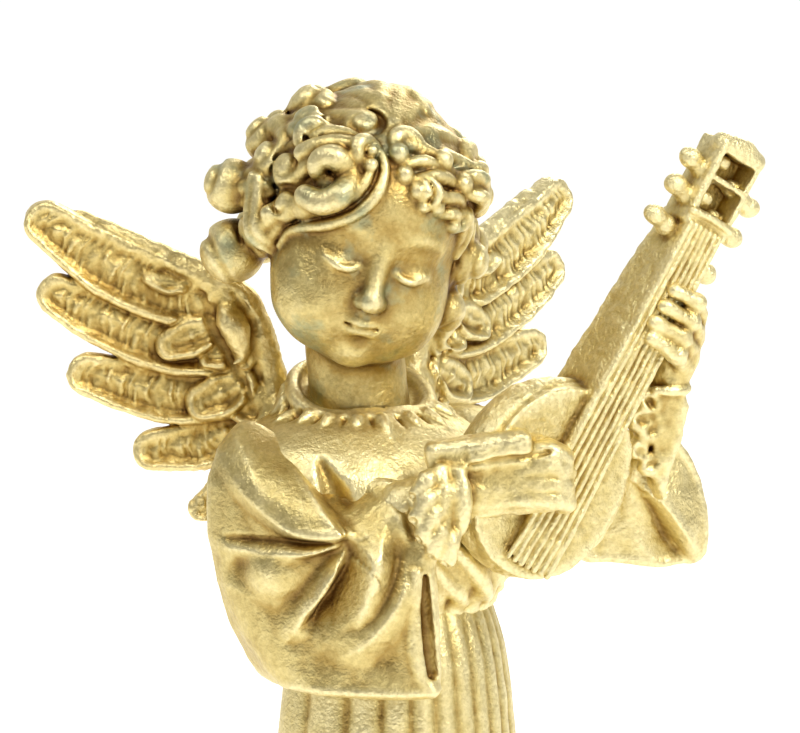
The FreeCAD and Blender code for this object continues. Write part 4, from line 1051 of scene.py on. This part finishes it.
# bearings, width and how proud of the skull
SIDE_ROLLS = (
    (((-96, -34), (-84, -26), (-72, -17), (-63, -10)), 2.1, 1.3),
    (((-98, -8), (-86, -3), (-76, 3)), 1.8, 1.0),
    (((66, -33), (66, -22), (70, -10)), 1.3, 0.4),
)
# bearings, width, strands and how proud
FRINGE = (
    (((-18, 40), (-14, 32), (-15, 22), (-21, 12), (-33, 3), (-46, -4), (-56, -12), (-60, -22)),
     1.2, 2, 0.5),
    (((-28, 42), (-44, 36), (-58, 26), (-66, 14)), 2.0, 3, 0.15),
    (((-30, 12), (-42, 6), (-54, 0), (-66, -8)), 1.5, 1, 0.0),
)
# azimuth, elevation, size, direction of winding and turns
FRONT_SWIRLS = (
    (-38, 22, 2.6, 1, 1.1), (-22, 41, 1.5, -1, 0.9), (0, 49, 1.9, 1, 0.7), (64, 34, 2.0, 1, 0.8),
)
# bearings and width, each with a ball at its root
FRONT_CLUMPS = (
    (((-4, 44), (10, 46), (26, 42), (40, 36)), 1.5), (((2, 34), (14, 38), (28, 35)), 1.3),
    (((10, 27), (22, 31), (36, 28), (50, 24)), 1.4), (((22, 20), (34, 22), (48, 17)), 1.2),
    (((30, 44), (46, 42), (62, 34)), 1.5), (((44, 32), (58, 28), (70, 18)), 1.5),
    (((14, 20), (17, 26), (14, 32)), 0.9), (((36, 12), (44, 15), (56, 12)), 1.0),
)
# bearings and width
TEMPLE_LOCKS = (
    (((46, 16), (54, 8), (56, 0), (53, -7)), 1.4),
    (((64, 10), (70, -2), (71, -13), (67, -21)), 1.7),
    (((82, 6), (84, -9), (79, -21), (72, -28)), 1.6),
    (((-82, 4), (-78, -10), (-72, -20), (-64, -28)), 1.4),
)
# azimuth, elevation, distance from the skull's middle, radius and direction of winding
BALL_CURLS = (
    (-96, -34, 12.7, 2.9, 1), (-99, -7, 12.2, 2.5, -1), (-82, -22, 9.9, 2.0, 1), (-112, 16, 10.6, 2.2, -1),
    (-112, 44, 10.0, 2.1, 1), (-86, 14, 9.6, 2.0, -1), (-56, 38, 8.9, 2.2, 1), (-66, 16, 9.0, 2.1, -1),
    (-84, 40, 9.0, 2.2, 1), (-40, 56, 8.8, 2.0, -1), (-58, 0, 9.0, 1.7, 1), (64, -36, 11.4, 2.1, -1),
    (74, -12, 10.2, 1.9, 1), (92, -36, 10.4, 2.4, 1), (98, -12, 10.2, 2.4, -1), (-124, -34, 11.0, 2.7, 1),
    (-150, -40, 10.8, 2.6, -1), (180, -42, 10.6, 2.6, 1), (152, -40, 10.6, 2.6, -1),
    (122, -38, 10.5, 2.6, 1), (-130, -8, 10.6, 2.4, -1), (128, -10, 10.4, 2.4, 1),
    (104, 14, 10.0, 2.2, -1), (-160, -14, 10.4, 2.4, 1), (162, -14, 10.4, 2.4, -1),
)


def make_hair(clay):
    """Loose waves from the parting over the crown, thick curls round the sides and balls at the ears."""
    clay.press(egg((0, 2.2, 2.3), (9.5, 9.4, 9.4)), 0.6)
    for bearings in CROWN_WAVES:
        tress(clay, bearings, 2.3, 3, -0.35, 0.5)
    rng = np.random.default_rng(11)
    for elevation, step, size in ((38, 24, 2.3), (16, 25, 2.5), (-8, 26, 2.5), (-30, 30, 2.3)):
        offset = rng.uniform(0, step)
        for azimuth in np.arange(-180, 180, step) + offset:
            azimuth = (azimuth + 180) % 360 - 180
            if abs(azimuth) < (50 if elevation > 30 else 84):
                continue
            swirl(clay, azimuth + rng.uniform(-3, 3), elevation + rng.uniform(-4, 4),
                  size * rng.uniform(0.9, 1.15), rng.choice((-1.0, 1.0)), rng.uniform(0, 2 * math.pi),
                  rng.uniform(0.7, 1.0), 0.5, 0.2)
    for bearings, width, proud in SIDE_ROLLS:
        tress(clay, bearings, width, 3, proud, 0.3)
    for bearings, width, strands, proud in FRINGE:
        tress(clay, bearings, width, strands, proud, 0.25)
    for azimuth, elevation, size, spin, turns in FRONT_SWIRLS:
        swirl(clay, azimuth, elevation, size, spin, math.radians(3 * azimuth), turns, 0.48, 0.2)
    for bearings, width in FRONT_CLUMPS:
        tress(clay, bearings, width, 2, 0.35, 0.22)
        clay.press(ball(on_skull(clay, *bearings[0], -0.1), 0.62 * width), 0.25)
    for bearings, width in TEMPLE_LOCKS:
        tress(clay, bearings, width, 3, 0.25, 0.25)
    for azimuth, elevation, out, radius, spin in BALL_CURLS:
        snail(clay, azimuth, elevation, out, radius, spin, math.radians(azimuth))


# -------- materials

def nodes_of(name):
    material = bpy.data.materials.new(name)
    material.use_nodes = True
    tree = material.node_tree
    return material, tree, tree.nodes["Principled BSDF"]


def feed(tree, socket, value):
    """Give a socket a number or a colour, or link another node's output to it."""
    if isinstance(value, bpy.types.NodeSocket):
        tree.links.new(value, socket)
    elif isinstance(value, tuple):
        socket.default_value = (*value, 1.0)
    else:
        socket.default_value = value


def fill(tree, node, **inputs):
    """Feed a node's inputs by name, with _ for a space."""
    for name, value in inputs.items():
        feed(tree, node.inputs[name.replace("_", " ")], value)
    return node


def add(tree, kind, **inputs):
    return fill(tree, tree.nodes.new(kind), **inputs)


def noise(tree, scale, detail=4.0, rough=0.55):
    spot = add(tree, "ShaderNodeTexCoord").outputs["Object"]
    node = add(tree, "ShaderNodeTexNoise", Vector=spot, Scale=scale, Detail=detail, Roughness=rough)
    return node.outputs["Fac"]


def ramp(tree, source, *stops):
    """Colours by value; a stop's colour may be one number for a grey."""
    node = add(tree, "ShaderNodeValToRGB", Fac=source)
    while len(node.color_ramp.elements) < len(stops):
        node.color_ramp.elements.new(0.5)
    for element, (position, colour) in zip(node.color_ramp.elements, stops):
        element.position = position
        element.color = (*colour, 1.0) if isinstance(colour, tuple) else (colour, colour, colour, 1.0)
    return node.outputs["Color"]


def arithmetic(tree, operation, *values):
    node = tree.nodes.new("ShaderNodeMath")
    node.operation = operation
    for socket, value in zip(node.inputs, values):
        feed(tree, socket, value)
    return node.outputs[0]


def mix(tree, factor, a, b, kind="MIX"):
    node = tree.nodes.new("ShaderNodeMix")
    node.data_type = "RGBA"
    node.blend_type = kind
    return fill(tree, node, Factor=factor, A=a, B=b).outputs["Result"]


def bump(tree, height, strength, distance, **under):
    node = add(tree, "ShaderNodeBump", Strength=strength, Distance=distance, Height=height, **under)
    return node.outputs["Normal"]


def attribute(tree, name, strength):
    """A value that the clay left on the mesh, times a strength."""
    node = tree.nodes.new("ShaderNodeAttribute")
    node.attribute_name = name
    return arithmetic(tree, "MULTIPLY", node.outputs["Fac"], strength)


PAINTED_LIGHT_GOLDS = (                # from the painted highlight on raised edges to the painted shade in deep recesses
    (0.18, (0.95, 0.83, 0.46)),
    (0.44, (0.74, 0.60, 0.25)),
    (0.60, (0.50, 0.35, 0.11)),
    (0.85, (0.20, 0.11, 0.03)),
)


def make_gilt(name, patina=0.0, grain=0.55, painted_light_shift=0.0, edges=1.1, warmth=(1.0, 1.0, 1.0)):
    """Satin gold paint, with a painted highlight on the raised edges and painted orange brown shade in the
    recesses.
    """
    material, tree, shader = nodes_of(name)
    # painted highlight on raised edges and painted shade in creases and recesses; edges sets how strong the
    # crease part is
    depth = arithmetic(tree, "ADD", attribute(tree, "crease", edges), attribute(tree, "recess", 1.3))
    # the whole casting shifted towards the painted highlight or the painted shade by a given amount, as
    # painted light and shade for how brightly it is lit
    depth = arithmetic(tree, "ADD", depth, 0.5 - painted_light_shift)
    speckle = arithmetic(tree, "MULTIPLY", arithmetic(tree, "SUBTRACT", noise(tree, 900.0), 0.5), 0.22)
    depth = arithmetic(tree, "ADD", depth, speckle)
    gold = ramp(tree, depth, *((at, tuple(c * w for c, w in zip(colour, warmth))) for at, colour in PAINTED_LIGHT_GOLDS))
    dust = ramp(tree, noise(tree, 2400.0, 2.0), (0.3, (0.80, 0.78, 0.72)), (0.7, 1.0))
    gold = mix(tree, 1.0, gold, dust, "MULTIPLY")
    if patina > 0:
        cloud = ramp(tree, noise(tree, 240.0, 4.0), (0.54, 0.0), (0.68, patina))
        gold = mix(tree, cloud, gold, (0.36, 0.38, 0.22))
    dull = ramp(tree, noise(tree, 420.0), (0.3, 0.38), (0.7, 0.52))
    grains = bump(tree, noise(tree, 2600.0, 3.0, 0.6), grain, 0.0002)
    waves = bump(tree, noise(tree, 420.0, 2.0, 0.45), 0.22, 0.0003, Normal=grains)
    fill(tree, shader, Base_Color=gold, Metallic=1.0, Roughness=dull, Normal=waves)
    return material


def make_steel():
    material, tree, shader = nodes_of("drawn_steel")
    tone = ramp(tree, noise(tree, 1500.0), (0.3, (0.45, 0.45, 0.47)), (0.7, (0.66, 0.66, 0.68)))
    fill(tree, shader, Base_Color=tone, Metallic=1.0, Roughness=0.35)
    return material


def make_felt():
    material, tree, shader = nodes_of("green_felt")
    tone = ramp(tree, noise(tree, 1800.0, 6.0, 0.7), (0.3, (0.02, 0.06, 0.03)), (0.7, (0.06, 0.15, 0.08)))
    fuzz = bump(tree, noise(tree, 3000.0, 6.0, 0.7), 0.8, 0.0003)
    fill(tree, shader, Base_Color=tone, Roughness=0.95, Sheen_Weight=0.4, Normal=fuzz)
    return material


def paint(piece, material):
    piece.data.materials.clear()
    piece.data.materials.append(material)


# -------- stage, light and camera

VIEW_TURN = math.radians(-22)       # the camera stands to the figure's right of its front
VIEW_RISE = math.radians(8)
VIEW_DISTANCE = 0.38
VIEW_LENS = 191.0
VIEW_TARGET = Vector((0.0002, 0, 0.0939))


def make_stage(middle):
    """A wide pale floor that fills the picture behind the figure, and three soft lights."""
    floor_mesh = bpy.data.meshes.new("floor")
    reach = 6.0
    floor_mesh.from_pydata([(-reach, -reach, 0), (reach, -reach, 0), (reach, reach, 0), (-reach, reach, 0)],
                           [], [(0, 1, 2, 3)])
    floor = bpy.data.objects.new("floor", floor_mesh)
    bpy.context.scene.collection.objects.link(floor)
    material, tree, shader = nodes_of("pale_floor")
    fill(tree, shader, Base_Color=(0.55, 0.55, 0.55), Roughness=0.9)
    fill(tree, shader, Emission_Color=(1.0, 1.0, 1.0), Emission_Strength=0.85)
    paint(floor, material)
    make_world()
    softbox("key", middle, (0.14, -0.38, 0.32), 0.24, 2.1)
    softbox("fill", middle, (-0.28, -0.12, 0.42), 0.22, 0.9)
    softbox("rim", middle, (0.28, 0.34, 0.26), 0.26, 1.0)


def make_world():
    """A pale room: bright behind the figure and at its left, dim on the side that the camera is on."""
    world = bpy.data.worlds.new("pale_world")
    world.use_nodes = True
    tree = world.node_tree
    sky = add(tree, "ShaderNodeTexCoord").outputs["Generated"]
    parts = add(tree, "ShaderNodeSeparateXYZ", Vector=sky)
    depth = arithmetic(tree, "MULTIPLY", parts.outputs["Y"], 0.4)
    across = arithmetic(tree, "MULTIPLY", parts.outputs["X"], 0.16)
    depth = arithmetic(tree, "ADD", arithmetic(tree, "ADD", depth, across), 0.5)
    tone = ramp(tree, depth, (0.10, (0.07, 0.065, 0.05)), (0.55, (0.30, 0.30, 0.28)), (0.85, 0.9))
    fill(tree, tree.nodes["Background"], Color=tone, Strength=0.9)
    bpy.context.scene.world = world


def softbox(name, target, offset, size, power):
    light = bpy.data.lights.new(name, "AREA")
    light.shape = "DISK"
    light.size = size
    light.energy = power
    lamp = bpy.data.objects.new(name, light)
    lamp.location = target + Vector(offset)
    lamp.rotation_euler = (-Vector(offset)).to_track_quat("-Z", "Y").to_euler()
    bpy.context.scene.collection.objects.link(lamp)


def make_camera(target):
    camera = bpy.data.cameras.new("camera")
    camera.lens = VIEW_LENS
    camera.sensor_width = 36.0
    camera.clip_start = 0.01
    back = Vector((math.sin(VIEW_TURN) * math.cos(VIEW_RISE), -math.cos(VIEW_TURN) * math.cos(VIEW_RISE),
                   math.sin(VIEW_RISE)))
    eye = bpy.data.objects.new("camera", camera)
    eye.location = target + back * VIEW_DISTANCE
    eye.rotation_euler = back.to_track_quat("Z", "Y").to_euler()
    bpy.context.scene.collection.objects.link(eye)
    bpy.context.scene.camera = eye


# -------- the whole figurine

def build():
    """Each casting in its own copy of the gold, lighter or darker as painted light and shade and tuned piece
    by piece, then the stage.
    """
    # the copies differ in painted light and shade, and some also in patina, grain, warmth and edge highlight
    gilt = make_gilt("gilt")
    bright = make_gilt("gilt_painted_lit_most", painted_light_shift=0.15)
    painted_lit = make_gilt("gilt_painted_lit", painted_light_shift=0.10)
    aged_and_shaded = make_gilt("gilt_aged_painted_shade", patina=0.8, painted_light_shift=-0.05)
    grainy_and_lit = make_gilt("gilt_grainy_painted_lit", grain=0.9, painted_light_shift=0.13)
    amber_and_lit = make_gilt("gilt_amber_painted_lit", painted_light_shift=0.05, edges=0.7, warmth=(1.0, 0.95, 0.84))
    paint(make_skirt(), painted_lit)
    paint(make_bodice(), bright)
    paint(make_right_sleeve(), gilt)
    paint(make_left_sleeve(), bright)
    paint(make_right_hand(), painted_lit)
    paint(make_left_hand(), gilt)
    paint(make_head(), aged_and_shaded)
    paint(make_lute(), grainy_and_lit)
    paint(make_wing("right_wing", -1, 21), amber_and_lit)
    paint(make_wing("left_wing", 1, 22), bright)
    paint(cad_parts["plinth"], gilt)
    steel = make_steel()
    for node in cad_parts:
        if node.endswith("dowel") or node == "base_screw":
            paint(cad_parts[node], steel)
    paint(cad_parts["felt_pad"], make_felt())
    make_stage(Vector((0, 0, 0.09)))
    make_camera(VIEW_TARGET)


build()
bpy.context.scene.view_settings.view_transform = "Standard"
bpy.context.view_layer.update()
